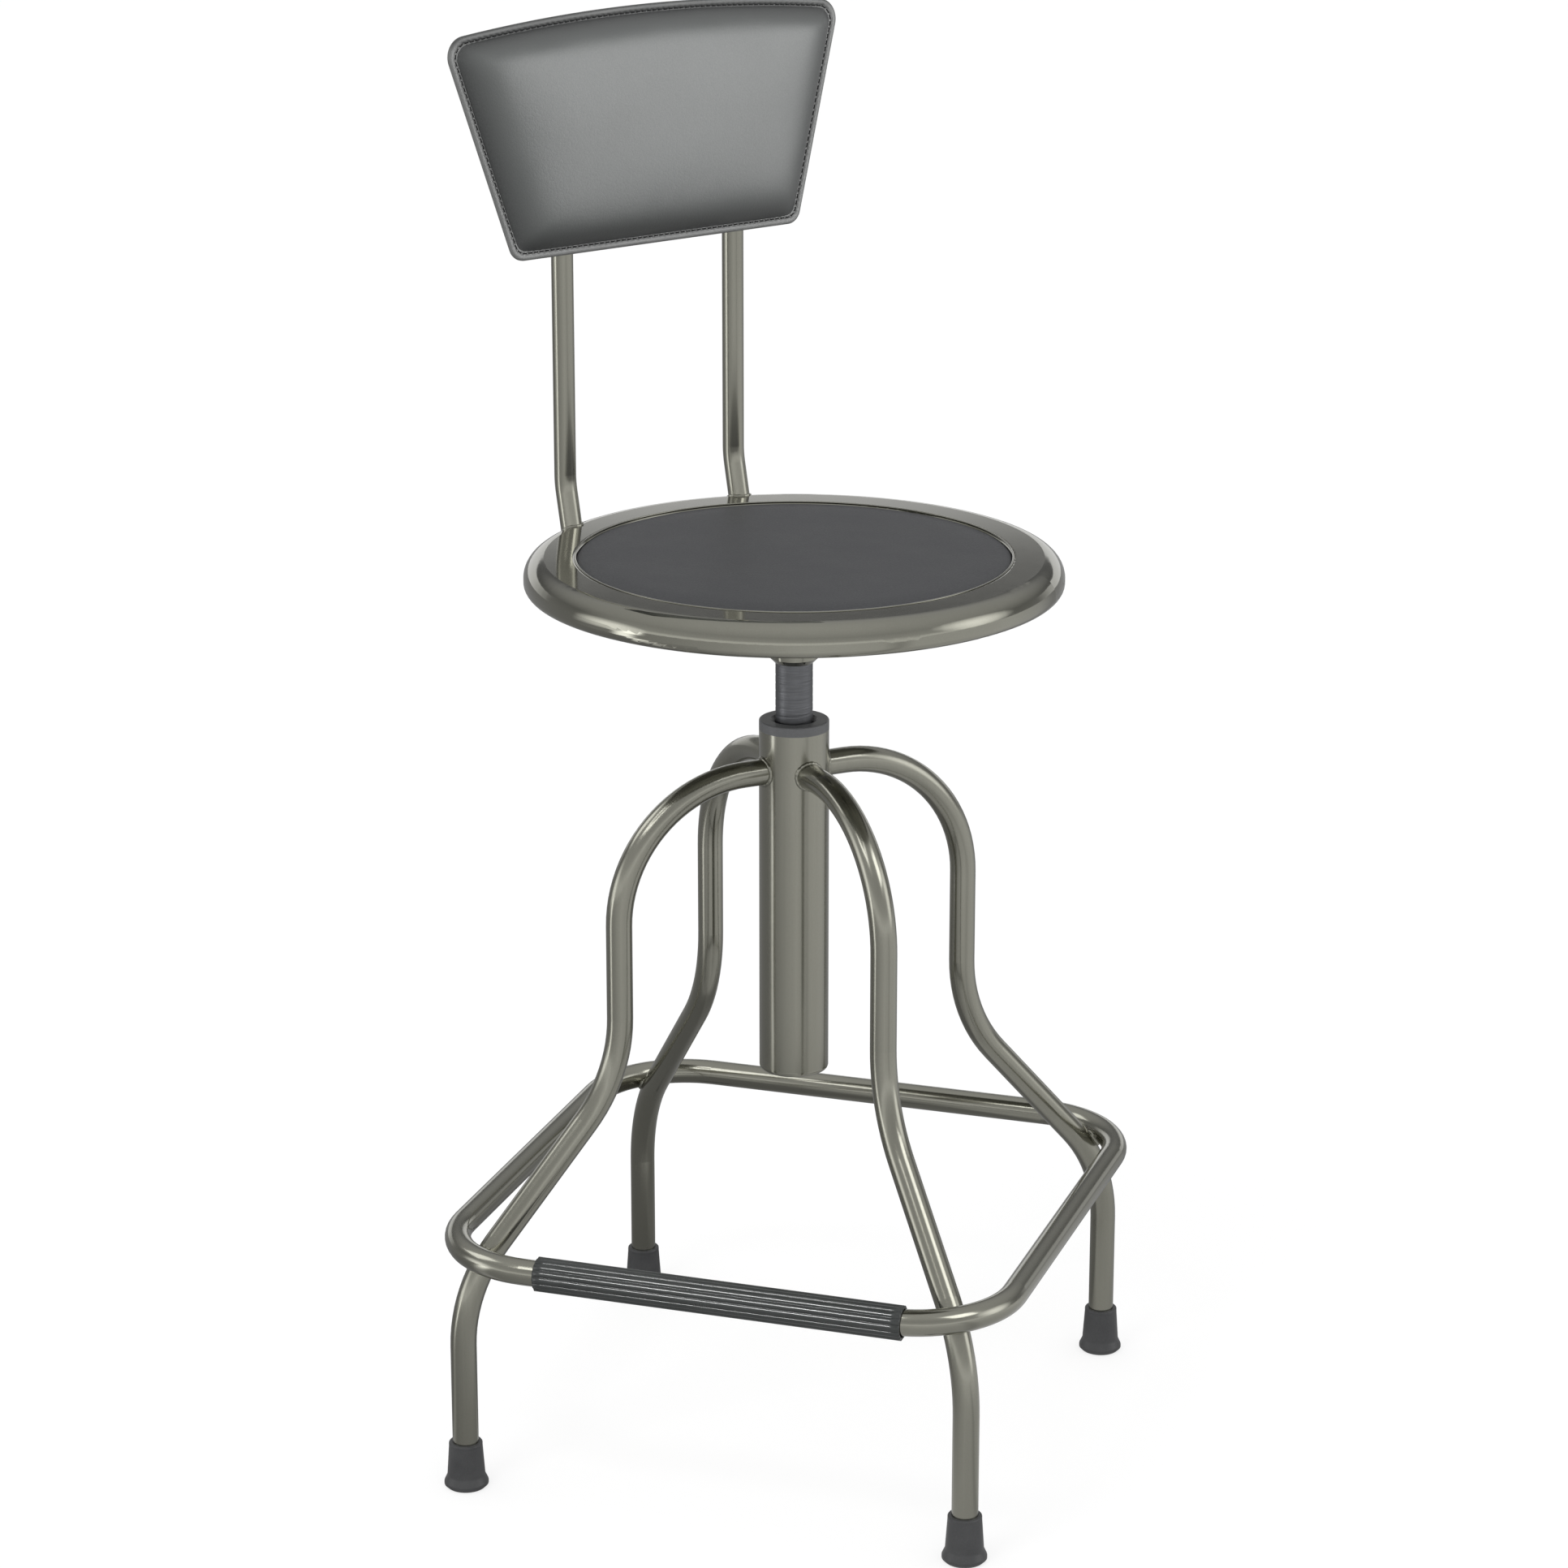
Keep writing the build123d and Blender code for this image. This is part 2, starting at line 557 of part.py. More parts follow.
with BuildPart() as back_screws:
    with BuildSketch(BACK.offset(-POST_BEHIND - POST_R - BACK_SCREW_HEAD_H)):
        for height in BACK_SCREW_HEIGHTS:
            with Locations((-POST_HALF_SPACING, height), (POST_HALF_SPACING, height)):
                Circle(BACK_SCREW_HEAD_R)
    extrude(amount=BACK_SCREW_HEAD_H)
    with BuildSketch(BACK.offset(-POST_BEHIND - POST_R)):
        for height in BACK_SCREW_HEIGHTS:
            with Locations((-POST_HALF_SPACING, height), (POST_HALF_SPACING, height)):
                Circle(BACK_SCREW_R)
    extrude(amount=POST_BEHIND + POST_R + BACK_BOARD_T / 2 - BACK_TNUT_T)
finish(back_screws.part, "back_screws")

with BuildPart() as back_board:
    extrude(back_outline(BACK, BACK_BOARD_INSET, BACK_CROWN_CORNER), amount=BACK_BOARD_T / 2, both=True)
    add(back_t_nuts.part, mode=Mode.SUBTRACT)
    add(back_screws.part, mode=Mode.SUBTRACT)
finish(back_board.part, "back_board")

with BuildPart() as back_foam_front:
    add(front_inside)
    extrude(
        back_outline(BACK, BACK_BOARD_INSET, BACK_CROWN_CORNER),
        amount=BACK_BOARD_T / 2,
        mode=Mode.SUBTRACT,
    )
finish(back_foam_front.part, "back_foam_front")

with BuildPart() as back_foam_rear:
    add(rear_inside)
    extrude(
        back_outline(BACK, BACK_BOARD_INSET, BACK_CROWN_CORNER),
        amount=-BACK_BOARD_T / 2,
        mode=Mode.SUBTRACT,
    )
    add(back_screws.part, mode=Mode.SUBTRACT)
    for envelope_part in post_envelopes:
        add(envelope_part, mode=Mode.SUBTRACT)
finish(back_foam_rear.part, "back_foam_rear")

with BuildPart() as back_cover_front:
    extrude(back_outline(BACK, 0, BACK_CORNER), amount=BACK_SKIN)
    add(front_skin)
    add(front_inside, mode=Mode.SUBTRACT)
finish(back_cover_front.part, "back_cover_front")

with BuildPart() as back_cover_rear:
    extrude(back_outline(BACK_REVERSE, 0, BACK_CORNER), amount=BACK_SKIN)
    add(rear_skin)
    add(rear_inside, mode=Mode.SUBTRACT)
    for envelope_part in post_envelopes:
        add(envelope_part, mode=Mode.SUBTRACT)
finish(back_cover_rear.part, "back_cover_rear")
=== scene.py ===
import math

import bmesh
import bpy
import numpy as np
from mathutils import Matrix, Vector


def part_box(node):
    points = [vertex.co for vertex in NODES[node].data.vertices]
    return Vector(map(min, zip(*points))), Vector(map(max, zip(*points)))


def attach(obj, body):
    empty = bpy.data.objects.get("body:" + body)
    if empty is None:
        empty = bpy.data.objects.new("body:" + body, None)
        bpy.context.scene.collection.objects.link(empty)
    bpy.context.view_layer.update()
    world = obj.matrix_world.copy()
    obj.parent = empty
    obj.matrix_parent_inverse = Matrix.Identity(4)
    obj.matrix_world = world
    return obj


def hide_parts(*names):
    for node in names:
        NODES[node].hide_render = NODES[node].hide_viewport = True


# Drafting chair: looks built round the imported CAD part. Metres, Z up, floor at Z = 0.

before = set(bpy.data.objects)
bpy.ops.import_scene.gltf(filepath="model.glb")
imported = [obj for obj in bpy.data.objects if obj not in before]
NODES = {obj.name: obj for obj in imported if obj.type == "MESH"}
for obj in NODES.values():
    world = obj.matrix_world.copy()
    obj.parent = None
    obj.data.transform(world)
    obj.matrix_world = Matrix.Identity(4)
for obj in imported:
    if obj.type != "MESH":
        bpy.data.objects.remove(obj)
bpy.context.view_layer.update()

# ---------------------------------------------------------------- measures shared with the CAD
SEAT_TURN = math.radians(55.5)
SEAT_X = Vector((math.cos(SEAT_TURN), math.sin(SEAT_TURN), 0))
SEAT_Y = Vector((-math.sin(SEAT_TURN), math.cos(SEAT_TURN), 0))
UP = Vector((0, 0, 1))

BACK_LEAN = math.radians(4.6)
BACK_ORIGIN = SEAT_Y * 0.1632 + UP * 0.8716
BACK_FRONT = SEAT_Y * -math.cos(BACK_LEAN) + UP * math.sin(BACK_LEAN)
BACK_UP = BACK_FRONT.cross(SEAT_X)
BACK_HALF_BOTTOM = 0.1269
BACK_HALF_TOP = 0.1756
BACK_HEIGHT = 0.1718
BACK_ARCH = 0.0118
BACK_CORNER = 0.012
BACK_TOP_CORNER = 0.015

SPINDLE_R = 0.0135
SPIGOT_R = 0.008
SHOULDER_Z = 0.402
THREAD_TOP_Z = 0.5895
THREAD_PITCH = 0.006
COLUMN_R = 0.0254
TUBE_R = 0.009525
LEG_TOP_Z = 0.5122
LEG_ANGLES = (-135, -45, 45, 135)
RING_HALF = 0.2085
RING_Z = 0.18375
RING_CORNER = 0.073
RING_TO_LEG = (-0.8373, -0.5467)  # from the ring's axis to the leg's: outwards and upwards
POST_R = 0.008
POST_FOOT = (0.0764, 0.169)
POST_LEAN = 0.00674 / 0.030  # the kick forward over the height of the kick
PAN_R = 0.1933
PAN_ROLL = 0.01475
SEAT_TOP = 0.671
PAD_R = 0.1554
PAD_TOP = 0.6702
PAD_LOW = 0.6553


# ---------------------------------------------------------------- small mesh tools
def new_piece(name, points, faces):
    """A smooth-shaded mesh object from points and faces, normals outward."""
    mesh = bpy.data.meshes.new(name)
    mesh.from_pydata([tuple(p) for p in points], [], faces)
    work = bmesh.new()
    work.from_mesh(mesh)
    bmesh.ops.recalc_face_normals(work, faces=work.faces)
    work.to_mesh(mesh)
    work.free()
    mesh.polygons.foreach_set("use_smooth", [True] * len(mesh.polygons))
    piece = bpy.data.objects.new(name, mesh)
    bpy.context.scene.collection.objects.link(piece)
    return piece


def loft_faces(rows, columns, close_rows=False, close_columns=True, start=0):
    """Quads joining rows of points, each row with the same number of columns."""
    faces = []
    for r in range(rows if close_rows else rows - 1):
        for c in range(columns if close_columns else columns - 1):
            r2 = (r + 1) % rows
            c2 = (c + 1) % columns
            faces.append(
                (
                    start + r * columns + c,
                    start + r * columns + c2,
                    start + r2 * columns + c2,
                    start + r2 * columns + c,
                )
            )
    return faces


def spread(path, count, closed=True):
    """The path's points redrawn at even spacing."""
    line = np.array(path, float)
    if closed:
        line = np.vstack([line, line[:1]])
    steps = np.linalg.norm(np.diff(line, axis=0), axis=1)
    along = np.concatenate([[0], np.cumsum(steps)])
    stops = np.linspace(0, along[-1], count, endpoint=not closed)
    return np.column_stack([np.interp(stops, along, line[:, k]) for k in range(line.shape[1])])


def paint(piece, material, body):
    """Give a new piece its material and the body it rides on."""
    piece.data.materials.clear()
    piece.data.materials.append(material)
    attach(piece, body)
    return piece


CLOTH_STEPS = 20
CLOTH_MASS = 0.25
CLOTH_BENDING = 2.0
SETTLE_SHARE = 0.6


def swell(piece, held, pressure, cap, stiffness, settle):
    """Puff a closed mesh out by cloth simulation with some points held, and keep the result.

    No point moves further than cap, and then the movement is evened out between neighbours,
    settle times over.
    """
    mesh = piece.data
    start = np.array([v.co for v in mesh.vertices], float)
    group = piece.vertex_groups.new(name="held")
    group.add(held, 1.0, "REPLACE")
    cloth = piece.modifiers.new("Cloth", "CLOTH")
    cloth.settings.quality = 6
    cloth.settings.mass = CLOTH_MASS
    cloth.settings.tension_stiffness = stiffness
    cloth.settings.compression_stiffness = stiffness
    cloth.settings.shear_stiffness = stiffness / 2
    cloth.settings.bending_stiffness = CLOTH_BENDING
    cloth.settings.vertex_group_mass = "held"
    cloth.settings.use_pressure = True
    cloth.settings.uniform_pressure_force = pressure
    cloth.settings.effector_weights.gravity = 0
    cloth.collision_settings.use_collision = False
    cloth.point_cache.frame_start = 1
    cloth.point_cache.frame_end = CLOTH_STEPS
    for step in range(CLOTH_STEPS):
        bpy.context.scene.frame_set(step + 1)
    depsgraph = bpy.context.evaluated_depsgraph_get()
    puffed = piece.evaluated_get(depsgraph).to_mesh()
    end = np.array([v.co for v in puffed.vertices], float)
    piece.modifiers.remove(cloth)
    piece.vertex_groups.remove(group)
    move = end - start
    far = np.linalg.norm(move, axis=1, keepdims=True)
    move *= np.minimum(1, cap / np.maximum(far, 1e-9))
    pairs = np.array([tuple(e.vertices) for e in mesh.edges])
    meets = np.bincount(pairs.ravel(), minlength=len(move))[:, None]
    for _ in range(settle):
        around = np.zeros_like(move)
        np.add.at(around, pairs[:, 0], move[pairs[:, 1]])
        np.add.at(around, pairs[:, 1], move[pairs[:, 0]])
        move = (1 - SETTLE_SHARE) * move + SETTLE_SHARE * around / meets
        move[held] = 0
    mesh.vertices.foreach_set("co", (start + move).ravel())
    mesh.update()
    bpy.context.scene.frame_set(1)
    print(f"{piece.name}: cloth moved at most {far.max() * 1000:.1f} mm")


def smooth_over(piece, levels):
    """Add subdivision and apply it to the mesh."""
    sub = piece.modifiers.new("Subdivision", "SUBSURF")
    sub.levels = levels
    sub.render_levels = levels
    depsgraph = bpy.context.evaluated_depsgraph_get()
    finer = bpy.data.meshes.new_from_object(piece.evaluated_get(depsgraph))
    piece.modifiers.remove(sub)
    old = piece.data
    piece.data = finer
    bpy.data.meshes.remove(old)
    piece.data.polygons.foreach_set("use_smooth", [True] * len(piece.data.polygons))


# ---------------------------------------------------------------- materials
class Nodes:
    """Short ways of placing and joining shader nodes in one tree."""

    def __init__(self, tree):
        self.tree = tree

    def node(self, kind, **settings):
        made = self.tree.nodes.new(kind)
        for key, value in settings.items():
            setattr(made, key, value)
        return made

    def join(self, source, target):
        self.tree.links.new(source, target)

    def feed(self, value, target):
        if isinstance(value, (int, float)):
            target.default_value = value
        elif isinstance(value, tuple):
            target.default_value = (*value, 1)
        else:
            self.join(value, target)

    def scaled(self, source, low, high, from_low=0.3, from_high=0.7):
        made = self.node("ShaderNodeMapRange")
        self.join(source, made.inputs["Value"])
        made.inputs["From Min"].default_value = from_low
        made.inputs["From Max"].default_value = from_high
        made.inputs["To Min"].default_value = low
        made.inputs["To Max"].default_value = high
        return made.outputs["Result"]

    def math(self, operation, a, b):
        made = self.node("ShaderNodeMath", operation=operation)
        self.feed(a, made.inputs[0])
        self.feed(b, made.inputs[1])
        return made.outputs[0]

    def sum(self, a, b):
        return self.math("ADD", a, b)

    def product(self, a, b):
        return self.math("MULTIPLY", a, b)

    def blend(self, factor, a, b):
        made = self.node("ShaderNodeMix", data_type="RGBA")
        self.feed(factor, made.inputs["Factor"])
        for socket, value in (("A", a), ("B", b)):
            self.feed(value, next(i for i in made.inputs if i.name == socket and i.type == "RGBA"))
        return next(o for o in made.outputs if o.type == "RGBA")

    def ramp(self, source, stops):
        """A grey ramp through (position, brightness) stops."""
        made = self.node("ShaderNodeValToRGB")
        self.join(source, made.inputs["Fac"])
        made.color_ramp.interpolation = "LINEAR"
        elements = made.color_ramp.elements
        while len(elements) < len(stops):
            elements.new(0.5)
        for element, (position, _) in zip(elements, stops):
            element.position = position
        for element, (_, grey) in zip(elements, stops):
            element.color = (grey, grey, grey, 1)
        return made.outputs["Color"]

    def towards(self, vector, direction):
        """How far a vector points along a fixed direction."""
        made = self.node("ShaderNodeVectorMath", operation="DOT_PRODUCT")
        self.join(vector, made.inputs[0])
        made.inputs[1].default_value = direction
        return made.outputs["Value"]


class Finish(Nodes):
    """A Principled material put together from procedural nodes."""

    def __init__(self, name, **sockets):
        self.material = bpy.data.materials.new(name)
        self.material.use_nodes = True
        super().__init__(self.material.node_tree)
        self.shader = next(n for n in self.tree.nodes if n.type == "BSDF_PRINCIPLED")
        for socket, value in sockets.items():
            self.shader.inputs[socket.replace("_", " ")].default_value = value
        self.place = self.node("ShaderNodeTexCoord").outputs["Object"]
        self.normal = None

    def stretched(self, stretch):
        mapping = self.node("ShaderNodeMapping")
        mapping.inputs["Scale"].default_value = stretch
        self.join(self.place, mapping.inputs["Vector"])
        return mapping.outputs["Vector"]

    def noise(self, scale, detail=3.0, stretch=(1, 1, 1), distortion=0.0):
        made = self.node("ShaderNodeTexNoise")
        self.join(self.stretched(stretch), made.inputs["Vector"])
        made.inputs["Scale"].default_value = scale
        made.inputs["Detail"].default_value = detail
        made.inputs["Distortion"].default_value = distortion
        return made.outputs["Fac"]

    def cells(self, scale, feature):
        made = self.node("ShaderNodeTexVoronoi", feature=feature)
        self.join(self.place, made.inputs["Vector"])
        made.inputs["Scale"].default_value = scale
        return made.outputs["Distance"]

    def colour(self, source):
        self.join(source, self.shader.inputs["Base Color"])

    def roughness(self, source):
        self.join(source, self.shader.inputs["Roughness"])

    def bump(self, height, distance):
        made = self.node("ShaderNodeBump")
        made.inputs["Distance"].default_value = distance
        self.join(height, made.inputs["Height"])
        if self.normal is not None:
            self.join(self.normal, made.inputs["Normal"])
        self.normal = made.outputs["Normal"]
        self.join(self.normal, self.shader.inputs["Normal"])


def pewter(name, stretch, streak=1.0, polish=0.20):
    """Tinted gloss clear coat over lightly brushed steel.

    stretch is the brushing's fineness in X, Y and Z.
    """
    f = Finish(name, Metallic=1.0, Coat_Weight=0.55, Coat_Roughness=0.05, Coat_IOR=1.5)
    broad = f.noise(7.0, 3.0)
    brushed = f.noise(1.0, 3.0, stretch)
    fleck = f.noise(1500.0, 2.0)
    tone = f.blend(f.scaled(broad, 0, 1), (0.295, 0.292, 0.245), (0.330, 0.327, 0.277))
    tone = f.blend(f.scaled(brushed, 0, 0.45 * streak), tone, (0.245, 0.241, 0.198))
    tone = f.blend(f.scaled(fleck, 0, 0.16, 0.45, 0.7), tone, (0.42, 0.415, 0.37))
    f.colour(tone)
    matt = f.scaled(brushed, polish, polish + 0.05 * streak)
    f.roughness(f.sum(matt, f.scaled(broad, 0.0, 0.02)))
    f.bump(brushed, 0.0000012 * streak)
    f.bump(f.noise(260.0, 1.0), 0.0000012)
    return f.material


def leatherette(name, dark, light, gloss, grain, grain_scale, painted_shade=None):
    """Coated vinyl cloth: pebbled grain, soft sheen, faint cloudiness.

    The last argument is a darker colour: painted shade towards a seam, in the amount that each
    point holds.
    """
    f = Finish(name, IOR=1.5, Sheen_Weight=0.05, Sheen_Roughness=0.5)
    cloud = f.noise(22.0, 4.0)
    fine = f.noise(900.0, 3.0)
    pebble = f.cells(grain_scale, "SMOOTH_F1")
    crease = f.cells(grain_scale * 0.55, "DISTANCE_TO_EDGE")
    tone = f.blend(f.scaled(cloud, 0, 1), dark, light)
    # Painted shade: the vinyl darkens towards the sewn edge by the amount stored on each point.
    if painted_shade is not None:
        seam = f.node("ShaderNodeAttribute", attribute_name="painted_shade_amount").outputs["Fac"]
        tone = f.blend(f.sum(seam, f.scaled(cloud, -0.06, 0.06)), tone, painted_shade)
    tone = f.blend(f.scaled(fine, 0, 0.35), tone, tuple(c * 0.75 for c in dark))
    f.colour(tone)
    f.roughness(f.sum(f.scaled(cloud, gloss - 0.03, gloss + 0.04), f.scaled(fine, -0.03, 0.05)))
    f.bump(pebble, grain)
    f.bump(f.scaled(crease, 0, 1, 0.0, 0.12), grain * 0.5)
    f.bump(cloud, grain * 4)
    return f.material


def rubber(name, dark, light, gloss, peel=0.00005):
    """Moulded rubber: slight mottling, dust in the low spots, fine orange peel."""
    f = Finish(name, IOR=1.52)
    cloud = f.noise(60.0, 4.0)
    fine = f.noise(1100.0, 3.0)
    tone = f.blend(f.scaled(cloud, 0, 1), dark, light)
    tone = f.blend(f.scaled(fine, 0, 0.3, 0.5, 0.75), tone, tuple(c * 1.5 for c in light))
    f.colour(tone)
    f.roughness(f.sum(f.scaled(cloud, gloss - 0.04, gloss + 0.06), f.scaled(fine, -0.02, 0.05)))
    f.bump(fine, peel)
    return f.material


def metal(name, dark, light, rough, stretch):
    """Bare or plated metal with tool marks running round or along it."""
    f = Finish(name, Metallic=1.0)
    marks = f.noise(1.0, 4.0, stretch)
    stain = f.noise(45.0, 4.0)
    tone = f.blend(f.scaled(stain, 0, 1), dark, light)
    f.colour(f.blend(f.scaled(marks, 0, 0.5), tone, tuple(c * 0.7 for c in dark)))
    f.roughness(f.sum(f.scaled(marks, rough - 0.05, rough + 0.08), f.scaled(stain, 0, 0.08)))
    f.bump(marks, 0.00004)
    return f.material


def plywood(name):
    """Birch ply: long grain on the faces and layers on the edge."""
    f = Finish(name, IOR=1.45)
    grain = f.noise(1.0, 5.0, (30, 420, 420), 0.6)
    layers = f.node("ShaderNodeTexWave", wave_type="BANDS", bands_direction="Z")
    f.join(f.place, layers.inputs["Vector"])
    layers.inputs["Scale"].default_value = 110.0
    tone = f.blend(f.scaled(grain, 0, 1), (0.50, 0.36, 0.20), (0.66, 0.50, 0.31))
    f.colour(f.blend(f.scaled(layers.outputs["Fac"], 0, 0.3, 0.2, 0.8), tone, (0.38, 0.26, 0.14)))
    f.roughness(f.scaled(grain, 0.55, 0.75))
    f.bump(grain, 0.0001)
    return f.material


PEWTER_UPRIGHT = pewter("pewter_coat_upright", (420, 420, 7), 0.4, 0.19)
PEWTER_FLAT = pewter("pewter_coat_flat", (120, 120, 120), 0.2, 0.07)
PEWTER_RING = pewter("pewter_coat_ring", (60, 60, 300), 0.12, 0.16)
WELD = pewter("pewter_coat_weld", (700, 700, 700), 0.8)
SPINDLE_STEEL = metal(
    "blackened_steel", (0.175, 0.180, 0.190), (0.225, 0.23, 0.242), 0.42, (60, 60, 1500)
)
COLLAR = rubber("collar_plastic", (0.140, 0.143, 0.148), (0.164, 0.168, 0.173), 0.38)
NYLON = rubber("nylon", (0.62, 0.61, 0.56), (0.70, 0.69, 0.64), 0.42)
ZINC = metal("zinc_steel", (0.50, 0.51, 0.52), (0.62, 0.63, 0.64), 0.30, (420, 420, 420))
TREAD = rubber("tread_rubber", (0.034, 0.038, 0.037), (0.045, 0.049, 0.048), 0.19, 0.000004)
FOOT = rubber("foot_rubber", (0.050, 0.051, 0.053), (0.066, 0.067, 0.069), 0.40)
PLY = plywood("plywood")
SEAT_VINYL = leatherette(
    "seat_vinyl", (0.028, 0.030, 0.034), (0.036, 0.038, 0.043), 0.52, 0.00005, 700.0
)
BACK_VINYL = leatherette(
    "back_vinyl",
    (0.128, 0.136, 0.133),
    (0.156, 0.164, 0.160),
    0.42,
    0.00005,
    620.0,
    # darker colour painted towards the seams as shade
    painted_shade=(0.052, 0.054, 0.054),
)
# The sewn edge's vinyl is the cushions' vinyl made lighter: painted light on the edge, with
# painted shade on its top stretch.
WELT_VINYL = leatherette(
    "back_vinyl_edge",
    (0.165, 0.168, 0.165),
    (0.190, 0.193, 0.190),
    0.46,
    0.00004,
    620.0,
    # darker colour painted on the top stretch as shade
    painted_shade=(0.058, 0.060, 0.059),
)
THREAD = rubber("stitch_thread", (0.010, 0.010, 0.011), (0.018, 0.018, 0.019), 0.65)

NODE_FINISH = {
    PEWTER_UPRIGHT: (
        "centre_column",
        "leg_front_left",
        "leg_front_right",
        "leg_back_right",
        "leg_back_left",
        "back_post_left",
        "back_post_right",
    ),
    PEWTER_FLAT: ("column_end_cap", "seat_hub", "seat_mount_plate", "seat_pan"),
    PEWTER_RING: ("foot_ring",),
    COLLAR: ("column_collar",),
    NYLON: ("spindle_guide_bush", "lift_nut"),
    SPINDLE_STEEL: ("lift_spindle",),
    ZINC: (
        "guide_washer",
        "guide_bolt",
        "foot_washers",
        "seat_bolts",
        "seat_t_nuts",
        "back_t_nuts",
        "back_screws",
    ),
    TREAD: ("footrest_tread",),
    FOOT: (
        "foot_tip_front_left",
        "foot_tip_front_right",
        "foot_tip_back_right",
        "foot_tip_back_left",
    ),
    PLY: ("seat_board", "back_board"),
    SEAT_VINYL: ("seat_cover", "seat_foam"),
    BACK_VINYL: ("back_cover_front", "back_cover_rear", "back_foam_front", "back_foam_rear"),
}
for finish_material, names in NODE_FINISH.items():
    for node_name in names:
        mesh_slots = NODES[node_name].data.materials
        for index in range(len(mesh_slots)):
            mesh_slots[index] = finish_material


# ---------------------------------------------------------------- seat pad
def disc_grid(side):
    """Points of a unit disc on a side x side grid of quads, and its outer loop of indices."""
    points = []
    for row in range(side + 1):
        for column in range(side + 1):
            a = 2 * column / side - 1
            b = 2 * row / side - 1
            x = a * math.sqrt(1 - b * b / 2)
            y = b * math.sqrt(1 - a * a / 2)
            points.append((x, y))
    n = side + 1
    loop = list(range(side))
    loop += [r * n + side for r in range(side)]
    loop += [side * n + c for c in range(side, 0, -1)]
    loop += [r * n for r in range(side, 0, -1)]
    return points, loop


PAD_GRID = 56
# The pad's turned-down rim: out from the flat, and up from PAD_TOP, then from PAD_LOW.
PAD_RIM = ((0.0012, -0.00010), (0.0026, -0.00045), (0.0036, -0.0012), (0.0039, -0.0024))
PAD_HEEL = ((0.0039, 0.002), (0.0025, 0.0))


def make_seat_pad():
    """Vinyl stretched over thin foam: nearly flat, turned down at the rim."""
    side = PAD_GRID
    disc, loop = disc_grid(side)
    flat_r = PAD_R - PAD_RIM[-1][0]
    points = [(x * flat_r, y * flat_r, PAD_TOP) for x, y in disc]
    count = len(disc)
    rows = [loop]
    for out, drop in PAD_RIM + tuple((out, PAD_LOW - PAD_TOP + up) for out, up in PAD_HEEL):
        rows.append(list(range(len(points), len(points) + len(loop))))
        for index in loop:
            x, y = disc[index]
            points.append((x * (flat_r + out), y * (flat_r + out), PAD_TOP + drop))
    base_start = len(points)
    points += [(x * flat_r, y * flat_r, PAD_LOW) for x, y in disc]
    rows.append([base_start + index for index in loop])
    faces = loft_faces(side + 1, side + 1, close_columns=False)
    faces += loft_faces(side + 1, side + 1, close_columns=False, start=base_start)
    for upper, lower in zip(rows, rows[1:]):
        for k in range(len(loop)):
            k2 = (k + 1) % len(loop)
            faces.append((upper[k], upper[k2], lower[k2], lower[k]))
    pad = new_piece("seat_pad", points, faces)
    held = list(range(count, len(points))) + loop
    swell(pad, held, pressure=4.0, cap=0.0008, stiffness=40.0, settle=4)
    smooth_over(pad, 1)
    paint(pad, SEAT_VINYL, "seat")
    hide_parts("seat_cover", "seat_foam")


def make_recess_lip():
    """The pan's recess ends in a fine rolled lip round the pad."""
    around, sides = 240, 10
    half_width, half_height = 0.0007, 0.0006
    points = []
    for k in range(around):
        a = 2 * math.pi * k / around
        for turn in range(sides):
            b = 2 * math.pi * turn / sides
            reach = PAD_R + half_width + half_width * math.cos(b)
            height = SEAT_TOP + half_height * math.sin(b)
            points.append((reach * math.cos(a), reach * math.sin(a), height))
    lip = new_piece("recess_lip", points, loft_faces(around, sides, close_rows=True))
    paint(lip, PEWTER_FLAT, "seat")


make_seat_pad()
make_recess_lip()


# ---------------------------------------------------------------- backrest
def on_back(u, v, w):
    """A point of the backrest: u across, v up, w out of the seam plane towards the sitter."""
    return BACK_ORIGIN + SEAT_X * u + BACK_UP * v + BACK_FRONT * w


def back_outline(inset, low_corner, high_corner):
    """Dense outline of the backrest drawn in by inset, from the bottom's middle, going right."""
    top_radius = (BACK_HALF_TOP**2 + BACK_ARCH**2) / (2 * BACK_ARCH)
    arc_centre = Vector((0, BACK_HEIGHT - top_radius))
    side = Vector((BACK_HALF_TOP - BACK_HALF_BOTTOM, BACK_HEIGHT - BACK_ARCH)).normalized()
    outward = Vector((side.y, -side.x))
    reach = inset + low_corner
    base = Vector((BACK_HALF_BOTTOM, 0)) - outward * reach
    low = base + side * ((reach - base.y) / side.y)
    reach = inset + high_corner
    base = Vector((BACK_HALF_BOTTOM, 0)) - outward * reach - arc_centre
    along = base.dot(side)
    gap = (top_radius - reach) ** 2 - base.length_squared
    high = base + side * (-along + math.sqrt(along * along + gap)) + arc_centre
    tilt = math.atan2(outward.y, outward.x)
    lean = math.atan2(high.y - arc_centre.y, high.x - arc_centre.x)
    corner_steps, top_steps = 24, 59
    half = [(0.0, inset)]
    for k in range(corner_steps + 1):
        a = -math.pi / 2 + (tilt + math.pi / 2) * k / corner_steps
        half.append((low.x + low_corner * math.cos(a), low.y + low_corner * math.sin(a)))
    for k in range(corner_steps + 1):
        a = tilt + (lean - tilt) * k / corner_steps
        half.append((high.x + high_corner * math.cos(a), high.y + high_corner * math.sin(a)))
    for k in range(1, top_steps + 1):
        a = lean + (math.pi / 2 - lean) * k / top_steps
        r = top_radius - inset
        half.append((arc_centre.x + r * math.cos(a), arc_centre.y + r * math.sin(a)))
    other = [(-u, v) for u, v in reversed(half[1:-1])]
    return half + other


